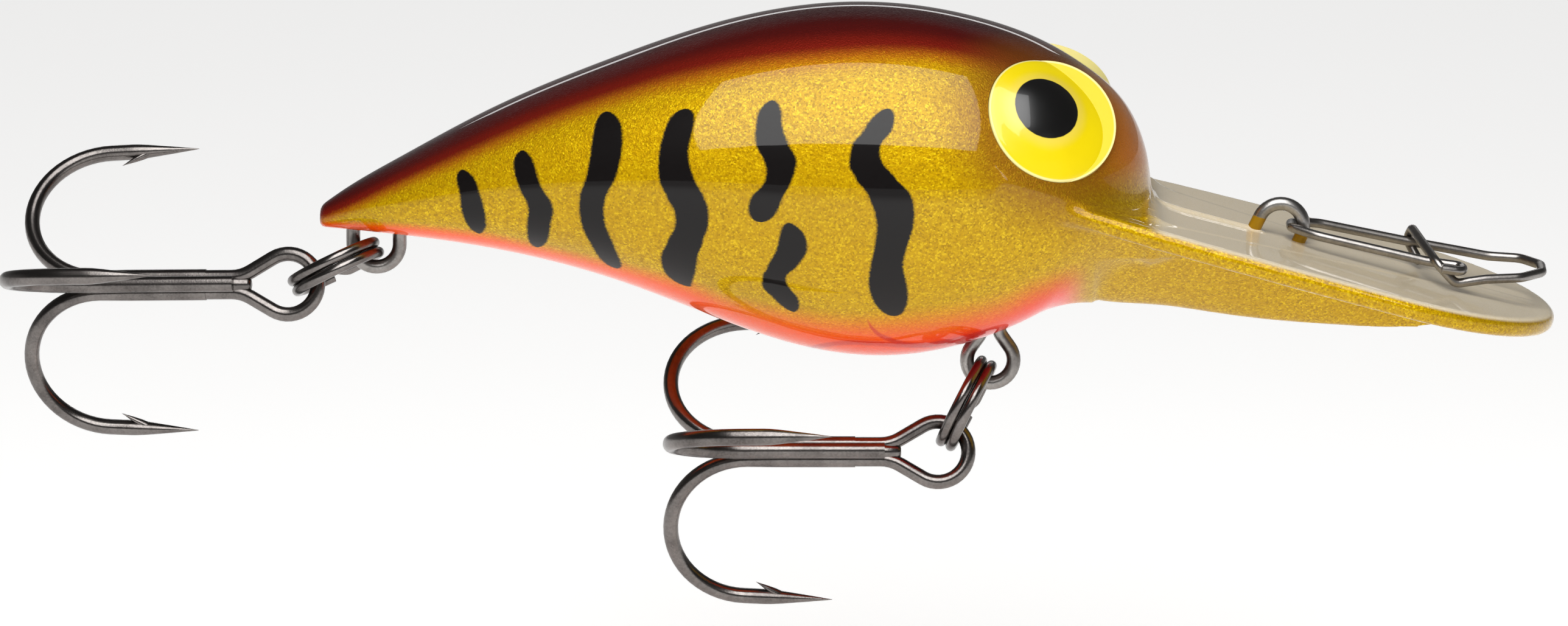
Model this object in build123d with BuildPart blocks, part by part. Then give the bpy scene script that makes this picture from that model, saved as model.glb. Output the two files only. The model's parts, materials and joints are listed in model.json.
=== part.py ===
from build123d import *
import os
from math import acos, atan2, cos, degrees, hypot, pi, radians, sin, sqrt, tan

# Crankbait lure.  Millimetres.  +X points forward, from tail to lip, +Y to the lure's left, +Z up.
# The origin is the centre of the line tie's loop, which lies in the seam plane y = 0.
os.makedirs("parts", exist_ok=True)

# ---------------------------------------------------------------- driving dimensions
# Hollow body, moulded in two halves that meet on the seam plane
body_length = 50.8
body_depth = 21.77
body_width = 18.6
nose_x = -8.0            # front of the head
belly_z = -7.92          # lowest point of the belly
wall = 1.25

# Diving lip, moulded with the body: half of it on each half-shell
lip_reach = 16.9         # tip of the lip, forward of the line tie
lip_width = 20.2
lip_tip_length = 9.5     # length of the rounded tip
lip_thickness = 1.2
lip_edge_radius = 0.4
lip_drop_at_tie = 0.68   # lip's top face below the line tie's centre
lip_slope = 15.0         # degrees, downwards to the front
lip_root_x = -16.0       # where the lip plate ends inside the head
lip_root_width = 14.4
keel_depth = 6.95        # deepest part of the keel, at the throat, below the lip's top face
keel_root_width = 12.6
keel_front_x = 12.5
keel_bury = 0.5          # its sections start this far below the lip's top face
keel_swell = (0.52, 0.62)   # share of half-width and depth that each flank swells through

# Wires
tie_wire = 0.84
hanger_wire = 0.86
snap_wire = 0.58
wire_fit = 0.02          # radial clearance of an anchored wire in its groove
tie_loop_radius = 1.40   # to the wire's centre line
tie_lean = 26.0          # degrees forward of upright
tie_leg = 2.3            # straight leg below the loop's centre
foot = 1.3               # bent foot that anchors each wire's leg

tail_hanger_in = 3.45    # forward of the tail's end
tail_hanger_hang = 0.81  # loop centre below the belly's outline there
tail_loop_radius = 1.42
tail_leg = 2.35
belly_hanger_in = 9.75   # behind the nose
belly_hanger_hang = 1.71
belly_loop_radius = 1.43
belly_neck = 0.52        # half the spacing of the two legs where they run side by side
belly_leg = 4.9
belly_flare = 35.0       # degrees that the belly loop closes in past its half circle

# Split rings: two coils of one wire, side by side
ring_wire = 0.66
ring_radius = 2.76       # to the coil's centre line
coil_gap = 0.02
coil_pitch = ring_wire + coil_gap

# Treble hooks: a double hook bent from one wire, and a third one brazed on
hook_wire = 1.0
braze_gap = 0.01
hook_reach = 10.0        # from the shank's axis to the point's centre line
hook_bend_at = 11.4      # eye centre to the centre of the bend
point_length = 5.45
point_tip_radius = 0.05
needle_length = 3.9
point_flare = 3.0        # degrees outwards
barb_length = 1.15
barb_angle = 24.0        # degrees off the shank's direction, inwards
barb_at = 0.35           # share of the needle's length, from its base, where the barb grows out
barb_in = 0.30           # share of the wire's thickness that its root lies inwards
barb_radius = 0.2
hook_eye_wire = 0.9
eye_radius = 1.86
eye_arc_x = -0.28        # centre of the eye's round end, ahead of the hook's own origin
eye_shoulder = 2.4       # bend where the eye's wires turn into the shank
eye_neck_at = 2.6        # eye centre to where the two wires meet in the shank
tail_roll = 14.0         # degrees that ring and hook lean about the lure's long axis
belly_roll = 16.5
tail_hook_yaw = 8.0      # degrees that the tail hook trails to the left
tail_ring_seat = (0.76, -0.13)   # ring's coil in the hook's eye: ahead of and above its centre
belly_ring_seat = (0.76, 0.50)
tail_ring_hang = (0.0, 0.2)      # ring's coil in its hanger's loop: behind and below its centre
belly_ring_hang = (0.22, 0.22)
tail_ring_pitch = 25.6   # degrees below level, from hanger to hook
belly_ring_pitch = 63.0

# Eyes
eye_diameter = 7.9
eye_socket_depth = 0.8
eye_crown = 0.85         # height of the curved rim face at its centre
boss_diameter = 5.4
boss_height = 1.0
eye_fit = 0.03
eye_in = 5.9             # centre of the eye's rim plane, behind the nose
eye_inset = 1.5          # and within the body's half-width there
eye_drop = 3.2           # and below the back's outline there
eye_turn = 25.0          # degrees forward
eye_tilt = 34.0          # degrees up

# Inside
rattle_ball = 4.0
rattle_bore = 4.2
rattle_wall = 0.8
rattle_x = (-42.0, -35.2, -28.4)
rattle_z = (3.4, 4.4, 5.2)
rattle_end_gap = 0.3     # ball to the end of its tube at rest
weight_diameter = 5.6
weight_length = 8.0
weight_chamfer = 0.5
weight_x = -25.5
weight_z = -3.6
pocket_wall = 0.9
pin_diameter = 1.6
pin_length = 2.0
pin_fit = 0.05
pin_boss = 3.4
pins = ((-48.2, 2.6), (-15.6, 8.0), (-12.2, 0.0))

# ---------------------------------------------------------------- body outline
# The body's lines, from tail to nose. Each point is a share of the body's length and, for the
# back and the belly, a share of its depth above the lowest point, for the beam of its width.
back_points = (
    (0, 0.42), (0.03, 0.469), (0.094, 0.556), (0.204, 0.694), (0.351, 0.839), (0.496, 0.952), (0.62, 0.998),
    (0.71, 0.992), (0.79, 0.957), (0.863, 0.898), (0.922, 0.818), (0.965, 0.728), (0.986, 0.645), (1, 0.535),
)
belly_points = (
    (0, 0.363), (0.131, 0.333), (0.241, 0.29), (0.351, 0.221), (0.461, 0.124), (0.571, 0.033), (0.66, 0),
    (0.72, 0.006), (0.79, 0.044), (0.863, 0.116), (0.92, 0.21), (0.965, 0.33), (1, 0.45),
)
beam_points = (
    (0, 0.09), (0.03, 0.185), (0.094, 0.355), (0.204, 0.572), (0.314, 0.748), (0.424, 0.878), (0.533, 0.962),
    (0.65, 1), (0.753, 0.984), (0.825, 0.93), (0.88, 0.85), (0.92, 0.75), (0.95, 0.625), (0.975, 0.45),
    (0.99, 0.27), (1, 0.08),
)
section_count = 21
tail_x = nose_x - body_length
standing = (Align.CENTER, Align.CENTER, Align.MIN)   # a round piece that stands on its base


def body_line(points, height, base=0.0):
    """Smooth outline curve, its x along the body and its y the height or half-width there."""
    with BuildLine() as line:
        Spline(*[(tail_x + along * body_length, base + share * height) for along, share in points])
    return line.line


back_line = body_line(back_points, body_depth, belly_z)
belly_line = body_line(belly_points, body_depth, belly_z)
beam_line = body_line(beam_points, body_width / 2)


def line_at(line, x):
    """Height of an outline curve at a place along the body, found by halving."""
    low, high = 0.0, 1.0
    for _ in range(40):
        middle = (low + high) / 2
        if (line @ middle).X < x:
            low = middle
        else:
            high = middle
    return (line @ low).Y


# Places on the body, tied to its outline
tail_hanger_x = tail_x + tail_hanger_in
tail_hanger_drop = tail_hanger_hang - line_at(belly_line, tail_hanger_x)
belly_hanger_x = nose_x - belly_hanger_in
belly_hanger_drop = belly_hanger_hang - line_at(belly_line, belly_hanger_x)
eye_x = nose_x - eye_in
eye_y = line_at(beam_line, eye_x) - eye_inset
eye_z = line_at(back_line, eye_x) - eye_drop


def body_solid(inset, first, last):
    """The body's egg-shaped solid through some of its sections, drawn in by the inset."""
    with BuildPart() as solid:
        for i in range(first, last):
            x = tail_x + body_length * (1 - cos(pi * i / (section_count - 1))) / 2
            bottom = line_at(belly_line, x) + inset
            top = line_at(back_line, x) - inset
            half = line_at(beam_line, x) - inset
            with BuildSketch(Plane(origin=(x, 0, (top + bottom) / 2), x_dir=(0, 1, 0), z_dir=(1, 0, 0))):
                Ellipse(half, (top - bottom) / 2)
        loft()
    return solid.part


def lip_top(x):
    """Height of the lip's top face in the seam plane."""
    return -lip_drop_at_tie - x * tan(radians(lip_slope))


def lip_plane(x):
    """Plane on the lip's top face, its own x running forward down the slope."""
    slope = radians(lip_slope)
    down_slope = (cos(slope), 0, -sin(slope))
    return Plane(origin=(x, 0, lip_top(x)), x_dir=down_slope, z_dir=(sin(slope), 0, cos(slope)))


along_slope = 1 / cos(radians(lip_slope))
lip_length = (lip_reach - lip_root_x) * along_slope
tip_start = lip_length - lip_tip_length


def lip_solid():
    """Flat lip plate with a rounded tip and edges, and the keel that fairs it into the throat."""
    with BuildPart() as plate:
        with BuildSketch(lip_plane(lip_root_x)):
            with BuildLine():
                a = (0, lip_root_width / 2)
                b = (tip_start, lip_width / 2)
                side = Spline(a, b, tangents=((1, 0.32), (1, 0)))
                EllipticalCenterArc((tip_start, 0), lip_tip_length, lip_width / 2, start_angle=0, arc_size=90)
                Line(side @ 0, (0, 0))
                Line((0, 0), (lip_length, 0))
            make_face()
            mirror(about=Plane.XZ)
        extrude(amount=-lip_thickness)
        rim = plate.edges().filter_by(lambda e: e.length > lip_tip_length / 2)
        rim = rim.filter_by(lambda e: e.center().X > lip_root_x + 1)
        fillet(rim, lip_edge_radius)
    keel_at = (
        (lip_root_x + 1.5, 0.90, 0.96),
        (-12.0, 1.0, 0.95),
        (-7.6, 0.90, 0.80),
        (-3.8, 0.83, 0.66),
        (0.0, 0.75, 0.52),
        (3.6, 0.65, 0.40),
        (7.3, 0.53, 0.27),
        (10.0, 0.40, 0.17),
        (keel_front_x, 0.24, 0.08),
    )
    with BuildPart() as keel:
        for x, deep, wide in keel_at:
            half = wide * keel_root_width / 2
            low = -deep * keel_depth
            with BuildSketch(Plane(origin=(x, 0, lip_top(x)), x_dir=(0, 1, 0), z_dir=(1, 0, 0))):
                with BuildLine():
                    swell, swell_low = half * keel_swell[0], low * keel_swell[1]
                    flank = Spline((-half, -keel_bury), (-swell, swell_low), (0, low),
                                   (swell, swell_low), (half, -keel_bury))
                    Line(flank @ 1, flank @ 0)
                make_face()
        loft()
    with BuildPart() as lip:
        add(plate.part)
        add(keel.part)
    return lip.part


# ---------------------------------------------------------------- wires anchored in the seam
def staple_path(plane, radius, leg, half_neck=None, flare=0.0):
    """Centre line of a wire loop with two legs down to bent feet, in a plane with its y up the loop.

    With a neck, the loop closes past its half circle by the flare angle, and its legs draw in.
    """
    neck = radius if half_neck is None else half_neck
    bend = 0.9 * hanger_wire
    with BuildLine(plane) as line:
        CenterArc((0, 0), radius, -flare, 180 + 2 * flare)
        for side in (-1, 1):
            tangent_at = (side * radius * cos(radians(flare)), -radius * sin(radians(flare)))
            corners = [(side * (neck + foot), -leg), (side * neck, -leg), tangent_at]
            radii = [bend]
            if half_neck is not None:
                run = (radius * cos(radians(flare)) - neck) / sin(radians(flare))
                corners.insert(2, (side * neck, tangent_at[1] - run * cos(radians(flare))))
                radii.append(belly_loop_radius * 0.7)
            FilletPolyline(*corners, radius=radii)
    return line.wire()


def wire_solid(path, thickness):
    """Round wire of one thickness along a centre line."""
    with BuildPart() as wire:
        with BuildSketch(Plane(origin=path @ 0, z_dir=path % 0)):
            Circle(thickness / 2)
        sweep(path=path)
    return wire.part


lean = radians(tie_lean)
tie_plane = Plane(origin=(0, 0, 0), x_dir=(cos(lean), 0, -sin(lean)), z_dir=(0, -1, 0))
tail_hanger_plane = Plane(origin=(tail_hanger_x, 0, -tail_hanger_drop), x_dir=(-1, 0, 0), z_dir=(0, -1, 0))
belly_hanger_plane = Plane(origin=(belly_hanger_x, 0, -belly_hanger_drop), x_dir=(-1, 0, 0), z_dir=(0, -1, 0))
tie_path = staple_path(tie_plane, tie_loop_radius, tie_leg)
tail_path = staple_path(tail_hanger_plane, tail_loop_radius, tail_leg)
belly_path = staple_path(belly_hanger_plane, belly_loop_radius, belly_leg, belly_neck, belly_flare)
anchored = ((tie_path, tie_wire), (tail_path, hanger_wire), (belly_path, hanger_wire))

with BuildPart() as line_tie:
    add(wire_solid(tie_path, tie_wire))
with BuildPart() as tail_hanger:
    add(wire_solid(tail_path, hanger_wire))
with BuildPart() as belly_hanger:
    add(wire_solid(belly_path, hanger_wire))

# ---------------------------------------------------------------- eyes
turn, tilt = radians(eye_turn), radians(eye_tilt)


def eye_plane(side):
    """Plane of an eye's rim; side is -1 for the right eye and 1 for the left."""
    outward = (cos(tilt) * sin(turn), side * cos(tilt) * cos(turn), sin(tilt))
    return Plane(origin=(eye_x, side * eye_y, eye_z), x_dir=(cos(turn), -side * sin(turn), 0), z_dir=outward)


def eye_solid(side):
    """Eye insert: a disc with a crowned face and a raised domed boss, on its own axis."""
    radius, boss = eye_diameter / 2, boss_diameter / 2
    sphere = (radius**2 + eye_crown**2) / (2 * eye_crown)

    def crown(r):
        return sqrt(sphere**2 - r**2) - (sphere - eye_crown)

    with BuildPart() as eye:
        with BuildSketch(Plane.XZ):
            with BuildLine():
                Polyline((0, eye_crown + boss_height), (0, -eye_socket_depth), (radius, -eye_socket_depth),
                         (radius, 0))
                mid = (radius + boss) / 2
                ThreePointArc((radius, 0), (mid, crown(mid)), (boss, crown(boss)))
                shoulder = (boss * 0.72, crown(boss) + boss_height * 0.74)
                Spline((boss, crown(boss)), shoulder, (0, eye_crown + boss_height),
                       tangents=((-0.25, 1), (-1, 0)))
            make_face()
        revolve(axis=Axis.Z)
    with BuildPart() as placed:
        with Locations(eye_plane(side)):
            add(eye.part)
    return placed.part


with BuildPart() as eye_right:
    add(eye_solid(-1))
with BuildPart() as eye_left:
    add(eye_solid(1))

# ---------------------------------------------------------------- what the body holds inside
def cross_plane(x, y, z):
    """Plane that faces the lure's left at a point."""
    return Plane(origin=(x, y, z), x_dir=(1, 0, 0), z_dir=(0, 1, 0))


rattle_travel = []
rattle_balls = []
for x, z in zip(rattle_x, rattle_z):
    bore_half = line_at(beam_line, x) - 2 * wall
    rattle_travel.append(bore_half - rattle_end_gap - rattle_ball / 2)
    with BuildPart() as ball:
        with Locations((x, 0, z)):
            Sphere(rattle_ball / 2)
    rattle_balls.append(ball)

with BuildPart() as belly_weight:
    with Locations(Plane(origin=(weight_x, 0, weight_z), z_dir=(1, 0, 0))):
        Cylinder(weight_diameter / 2, weight_length)
    chamfer(belly_weight.edges().filter_by(GeomType.CIRCLE), weight_chamfer)

# ---------------------------------------------------------------- body shell
lip = lip_solid()
with BuildPart() as shell:
    add(body_solid(0, 0, section_count))
    add(lip)
    add(body_solid(wall, 5, section_count - 3), mode=Mode.SUBTRACT)

# Tubes, pocket, posts and blocks that stand inside the shell, and grow into its wall
with BuildPart() as inner_walls:
    for x, z in zip(rattle_x, rattle_z):
        with Locations(cross_plane(x, 0, z)):
            Cylinder(rattle_bore / 2 + rattle_wall, body_width)
    with Locations(Plane(origin=(weight_x, 0, weight_z), z_dir=(1, 0, 0))):
        Cylinder(weight_diameter / 2 + pocket_wall, weight_length + 2 * pocket_wall)
    for x, z in pins:
        with Locations(cross_plane(x, 0, z)):
            Cylinder(pin_boss / 2, body_width)
    block = (2 * (belly_neck + foot + hanger_wire), 3 * hanger_wire, belly_leg)
    with Locations((belly_hanger_x, 0, -belly_hanger_drop + belly_leg)):
        Box(*block)
    for side in (-1, 1):
        with Locations(eye_plane(side)):
            Cylinder(eye_diameter / 2 + wall, 2 * (eye_socket_depth + wall))
    add(body_solid(wall / 2, 3, section_count - 2), mode=Mode.INTERSECT)

with BuildPart() as body:
    add(shell.part)
    add(inner_walls.part)
    for x, z in zip(rattle_x, rattle_z):
        with Locations(cross_plane(x, 0, z)):
            Cylinder(rattle_bore / 2, 2 * (line_at(beam_line, x) - 2 * wall), mode=Mode.SUBTRACT)
    with Locations(Plane(origin=(weight_x, 0, weight_z), z_dir=(1, 0, 0))):
        Cylinder(weight_diameter / 2 + wire_fit, weight_length + 2 * wire_fit, mode=Mode.SUBTRACT)
    for path, thickness in anchored:
        add(wire_solid(path, thickness + 2 * wire_fit), mode=Mode.SUBTRACT)
    for side in (-1, 1):
        with Locations(eye_plane(side).offset(-eye_socket_depth - eye_fit)):
            Cylinder(eye_diameter / 2 + eye_fit, 3 * eye_diameter, mode=Mode.SUBTRACT, align=standing)

with BuildPart() as body_left:
    add(split(body.part, Plane.XZ.offset(0), keep=Keep.BOTTOM))
    for x, z in pins:
        with Locations(cross_plane(x, 0, z)):
            Cylinder(pin_diameter / 2 + pin_fit, 2 * (pin_length + pin_fit), mode=Mode.SUBTRACT)
with BuildPart() as body_right:
    add(split(body.part, Plane.XZ.offset(0), keep=Keep.TOP))
    for x, z in pins:
        with Locations(cross_plane(x, -pin_length, z)):
            Cylinder(pin_diameter / 2, 2 * pin_length, align=standing)

# ---------------------------------------------------------------- split rings
def rolled_up(roll):
    """Upward direction of tackle that leans by the roll."""
    return Vector(0, sin(radians(roll)), cos(radians(roll)))


def across(roll):
    """Pivot axis of tackle that leans by the roll, to the lure's left."""
    return Vector(0, cos(radians(roll)), -sin(radians(roll)))


def ring_direction(pitch, roll):
    """Unit vector from a ring's hook end to its hanger end."""
    return Vector(cos(radians(pitch)), 0, 0) + rolled_up(roll) * sin(radians(pitch))


def ring_solid(hanger_end, pitch, roll):
    """Split ring: two coils side by side."""
    along = ring_direction(pitch, roll)
    normal = along.cross(across(roll))
    centre = hanger_end - along * ring_radius
    with BuildPart() as ring:
        for side in (-1, 1):
            coil_centre = centre + normal * (side * coil_pitch / 2)
            with Locations(Plane(origin=coil_centre, x_dir=along, z_dir=normal)):
                Torus(ring_radius, ring_wire / 2)
    return ring.part


tail_ring_at = Vector(tail_hanger_x - tail_ring_hang[0], 0, -tail_hanger_drop - tail_ring_hang[1])
belly_ring_at = Vector(belly_hanger_x - belly_ring_hang[0], 0, -belly_hanger_drop - belly_ring_hang[1])
with BuildPart() as tail_split_ring:
    add(ring_solid(tail_ring_at, tail_ring_pitch, tail_roll))
with BuildPart() as belly_split_ring:
    add(ring_solid(belly_ring_at, belly_ring_pitch, belly_roll))

# ---------------------------------------------------------------- treble hooks, in their own frame
# Own frame: origin at the centre of the hook's eye, x along the shank to the bend, y to the
# brazed hook's point, z across the eye.
pair_half = 0.46 * hook_wire      # double hook's wires are pressed together, and merge
pair_y = -0.29 * hook_wire
single_y = pair_y + sqrt((hook_wire + braze_gap) ** 2 - pair_half**2)
pair_angle = degrees(atan2(pair_half, pair_y))
pair_off = hypot(pair_y, pair_half)
join_at = eye_neck_at + 2.2       # where eye wire and point wire meet in the shank
single_start = eye_neck_at + 0.4   # brazed wire's cut end


def prong_solid(angle, off, start):
    """One wire, off the shank's axis, from the shank round the bend to its barbed needle point."""
    out = (0, cos(radians(angle)), sin(radians(angle)))
    side = (0, -sin(radians(angle)), cos(radians(angle)))
    plane = Plane(origin=(0, 0, 0), x_dir=(1, 0, 0), z_dir=side)
    bend_radius = (hook_reach - off) / 2
    with BuildPart() as prong:
        with BuildLine(plane) as line:
            Line((start, off), (hook_bend_at, off))
            bend = CenterArc((hook_bend_at, off + bend_radius), bend_radius, -90, 180 - point_flare)
            straight = point_length - needle_length
            flare = radians(point_flare)
            end = bend @ 1 + Vector(-cos(flare), 0, 0) * straight + Vector(*out) * (sin(flare) * straight)
            end_local = plane.to_local_coords(end)
            bend_local = plane.to_local_coords(bend @ 1)
            Line((bend_local.X, bend_local.Y), (end_local.X, end_local.Y))
        path = line.wire()
        with BuildSketch(Plane(origin=path @ 0, z_dir=path % 0)):
            Circle(hook_wire / 2)
        sweep(path=path)
        tip = Plane(origin=path @ 1, z_dir=path % 1)
        with Locations(tip):
            Cone(hook_wire / 2, point_tip_radius, needle_length, align=standing)
        inward = Vector(*out) * -1
        back = (Vector(1, 0, 0) * cos(radians(barb_angle)) + inward * sin(radians(barb_angle))).normalized()
        root = path @ 1 + inward * (hook_wire * barb_in) + (path % 1) * (barb_at * needle_length)
        with Locations(Plane(origin=root, z_dir=back)):
            Cone(barb_radius, point_tip_radius / 2, barb_length, align=standing)
    return prong.part


def hook_eye_solid():
    """Teardrop eye of the double hook, its two wires running into the shank."""
    away = hypot(eye_neck_at - eye_arc_x, pair_half)
    tangent = degrees(atan2(pair_half, eye_neck_at - eye_arc_x) + acos(eye_radius / away))
    touch = (eye_arc_x + eye_radius * cos(radians(tangent)), eye_radius * sin(radians(tangent)))
    with BuildLine(Plane(origin=(0, pair_y, 0), x_dir=(1, 0, 0), z_dir=(0, -1, 0))) as line:
        CenterArc((eye_arc_x, 0), eye_radius, tangent, 360 - 2 * tangent)
        for side in (-1, 1):
            FilletPolyline((join_at, side * pair_half), (eye_neck_at, side * pair_half),
                           (touch[0], side * touch[1]), radius=eye_shoulder)
    return wire_solid(line.wire(), hook_eye_wire)


with BuildPart() as double_hook:
    add(hook_eye_solid())
    add(prong_solid(pair_angle, pair_off, join_at))
    add(prong_solid(-pair_angle, pair_off, join_at))
with BuildPart() as single_hook:
    add(prong_solid(0, single_y, single_start))


def hook_plane(hanger_end, pitch, roll, seat, yaw):
    """Frame of a hook that trails level from its ring, and the ring end that it pivots on."""
    ring_end = hanger_end - ring_direction(pitch, roll) * (2 * ring_radius)
    eye_centre = ring_end - Vector(seat[0], 0, 0) - rolled_up(roll) * seat[1]
    back = Vector(-1, 0, 0) * cos(radians(yaw)) + across(roll) * sin(radians(yaw))
    return Plane(origin=eye_centre, x_dir=back, z_dir=rolled_up(roll)), ring_end


tail_hook_plane, tail_pivot = hook_plane(
    tail_ring_at, tail_ring_pitch, tail_roll, tail_ring_seat, tail_hook_yaw)
belly_hook_plane, belly_pivot = hook_plane(
    belly_ring_at, belly_ring_pitch, belly_roll, belly_ring_seat, 0)
with BuildPart() as tail_hook_double:
    with Locations(tail_hook_plane):
        add(double_hook.part)
with BuildPart() as tail_hook_single:
    with Locations(tail_hook_plane):
        add(single_hook.part)
with BuildPart() as belly_hook_double:
    with Locations(belly_hook_plane):
        add(double_hook.part)
with BuildPart() as belly_hook_single:
    with Locations(belly_hook_plane):
        add(single_hook.part)

# ---------------------------------------------------------------- snap
# One spring wire: hook, near side, narrow end round the line tie, far side, wide front end,
# elbow, then the arm that crosses to the far side and hooks down behind it.
snap_points = (
    (9.75, -3.55, -2.00),
    (11.05, -3.45, -2.20),
    (11.05, -2.15, -2.10),
    (8.90, -2.10, -1.80),
    (2.20, -1.75, -0.28),
    (0.62, -0.75, 0.06),
    (0.62, 0.75, 0.06),
    (2.20, 1.80, -0.12),
    (7.80, 2.15, -1.34),
    (10.90, 2.35, -1.95),
    (12.85, 2.50, -2.35),
    (14.80, 2.40, -2.46),
    (16.00, 1.00, -2.62),
    (16.00, -0.90, -2.72),
    (14.60, -2.40, -2.77),
    (12.46, -2.70, -2.80),
    (10.60, -2.95, -3.02),
    (9.45, -2.85, -1.75),
    (8.15, 2.15, -0.56),
    (7.85, 2.95, -1.35),
    (8.55, 1.30, -2.45),
)
snap_bends = (
    0.6, 0.55, 1.0, 2.0, 0.6, 0.6, 2.0, 3.0, 3.0, 3.0,
    1.0, 0.85, 0.85, 1.0, 2.0, 0.6, 0.8, 0.35, 0.45,
)
with BuildPart() as snap:
    with BuildLine() as snap_line:
        FilletPolyline(*snap_points, radius=list(snap_bends))
    add(wire_solid(snap_line.wire(), snap_wire))

# ---------------------------------------------------------------- export
pieces = {
    "body_left": body_left,
    "body_right": body_right,
    "eye_left": eye_left,
    "eye_right": eye_right,
    "line_tie": line_tie,
    "tail_hanger": tail_hanger,
    "belly_hanger": belly_hanger,
    "belly_weight": belly_weight,
    "rattle_ball_rear": rattle_balls[0],
    "rattle_ball_middle": rattle_balls[1],
    "rattle_ball_front": rattle_balls[2],
    "tail_split_ring": tail_split_ring,
    "belly_split_ring": belly_split_ring,
    "tail_hook_double": tail_hook_double,
    "tail_hook_single": tail_hook_single,
    "belly_hook_double": belly_hook_double,
    "belly_hook_single": belly_hook_single,
    "snap": snap,
}
for name, piece in pieces.items():
    piece.part.label = name
    export_step(piece.part, f"parts/{name}.step")

print("rattle travel", [round(t, 3) for t in rattle_travel])
print("tail ring pivot", tail_ring_at, "tail hook pivot", tail_pivot)
print("belly ring pivot", belly_ring_at, "belly hook pivot", belly_pivot)
print("pivot axes", across(tail_roll), across(belly_roll))
print("hangers", tail_hanger_x, -tail_hanger_drop, belly_hanger_x, -belly_hanger_drop, "eye", eye_y, eye_z)
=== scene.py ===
import json
import logging
import math
from dataclasses import dataclass, field
from enum import Enum
from typing import Any, Sequence

import bpy
import numpy as np
from mathutils import Matrix, Vector

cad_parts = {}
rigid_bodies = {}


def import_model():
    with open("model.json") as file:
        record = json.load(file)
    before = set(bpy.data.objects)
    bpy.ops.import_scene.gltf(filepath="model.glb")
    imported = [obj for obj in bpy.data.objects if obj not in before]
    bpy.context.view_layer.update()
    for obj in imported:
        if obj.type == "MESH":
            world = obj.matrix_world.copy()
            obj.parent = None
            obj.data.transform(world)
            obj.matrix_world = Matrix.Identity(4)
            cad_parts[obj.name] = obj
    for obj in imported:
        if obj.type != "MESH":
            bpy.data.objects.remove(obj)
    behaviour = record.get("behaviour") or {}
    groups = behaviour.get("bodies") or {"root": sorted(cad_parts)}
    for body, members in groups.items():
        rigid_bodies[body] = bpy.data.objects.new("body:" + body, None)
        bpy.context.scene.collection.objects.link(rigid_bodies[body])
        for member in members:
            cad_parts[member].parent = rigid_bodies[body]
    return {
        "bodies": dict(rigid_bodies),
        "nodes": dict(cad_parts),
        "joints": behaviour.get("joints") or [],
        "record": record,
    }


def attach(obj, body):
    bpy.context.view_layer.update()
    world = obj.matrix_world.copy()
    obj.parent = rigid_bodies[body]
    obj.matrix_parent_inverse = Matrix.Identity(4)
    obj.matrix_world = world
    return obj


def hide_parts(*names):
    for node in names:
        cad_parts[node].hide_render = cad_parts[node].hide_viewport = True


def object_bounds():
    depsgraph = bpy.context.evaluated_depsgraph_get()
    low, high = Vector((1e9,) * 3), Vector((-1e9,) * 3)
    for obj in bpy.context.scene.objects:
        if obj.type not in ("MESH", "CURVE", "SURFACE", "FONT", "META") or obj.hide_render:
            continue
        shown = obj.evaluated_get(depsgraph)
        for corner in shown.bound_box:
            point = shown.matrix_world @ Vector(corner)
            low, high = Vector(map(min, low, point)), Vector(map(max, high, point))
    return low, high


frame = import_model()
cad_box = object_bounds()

# A crankbait lure: painted two-part body with a diving lip, raised eyes, wire loops, split rings,
# treble hooks and a snap. Pieces are shaped in millimetres and brought to metres when they are done.
# +X points forward, +Y to the lure's left and +Z up; the origin is the centre of the line tie's loop.

log = logging.getLogger("crankbait")
Points = Sequence[Sequence[float]]
Spot = tuple[float, float, float]
Colour = tuple[int, int, int]
Shades = Sequence[tuple[float, Colour]]
MM = 0.001
SIDES_OF_WIRE = 20
BEND_STEP = math.radians(9)
CUT_END = 0.12
TAIL_LOOP = (-55.35, 0.0, -1.12)
BELLY_LOOP = (-17.75, 0.0, -8.36)
WIRE_SMOOTH = 50.0


class Side(Enum):
    """The lure's left and right, as the sign of y."""

    LEFT = 1
    RIGHT = -1


class Keep(Enum):
    """Which part of a piece stays when another piece cuts it."""

    OUTSIDE = "DIFFERENCE"
    INSIDE = "INTERSECT"


class Slot(Enum):
    """Names of the record's material slots."""

    BODY = "painted_body"
    EYE = "painted_eye"
    WIRE = "bright_wire"
    STEEL = "hook_steel"


# ---------------------------------------------------------------- shaping tools
def select_only(obj: bpy.types.Object) -> None:
    """Leave one object selected and active.

    Args:
        obj: The object.
    """
    bpy.ops.object.select_all(action="DESELECT")
    obj.select_set(True)
    bpy.context.view_layer.objects.active = obj


def settle(obj: bpy.types.Object, place: Matrix | None = None, scale: float = MM) -> bpy.types.Object:
    """Put a shaped piece in its place and make its object stand at the origin, unturned.

    Args:
        obj: The piece, shaped in its own frame in millimetres.
        place: Its frame on the lure, in millimetres.
        scale: What brings its mesh to metres.

    Returns:
        The same piece, its place and size in its mesh.
    """
    select_only(obj)
    obj.matrix_world = Matrix.Scale(scale, 4) @ (place or Matrix.Identity(4)) @ obj.matrix_world
    bpy.ops.object.transform_apply(location=True, rotation=True, scale=True)
    return obj


def twin(obj: bpy.types.Object, name: str) -> bpy.types.Object:
    """Copy a piece, with a mesh of its own.

    Args:
        obj: The piece.
        name: The copy's name.

    Returns:
        The copy.
    """
    copy = obj.copy()
    copy.data = obj.data.copy()
    copy.name = name
    bpy.context.scene.collection.objects.link(copy)
    return copy


def joined(first: bpy.types.Object, *others: bpy.types.Object) -> bpy.types.Object:
    """Join pieces into the first one.

    Args:
        first: The piece that stays.
        others: The pieces that go into it.

    Returns:
        The first piece.
    """
    select_only(first)
    for other in others:
        other.select_set(True)
    bpy.ops.object.join()
    return first


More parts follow.
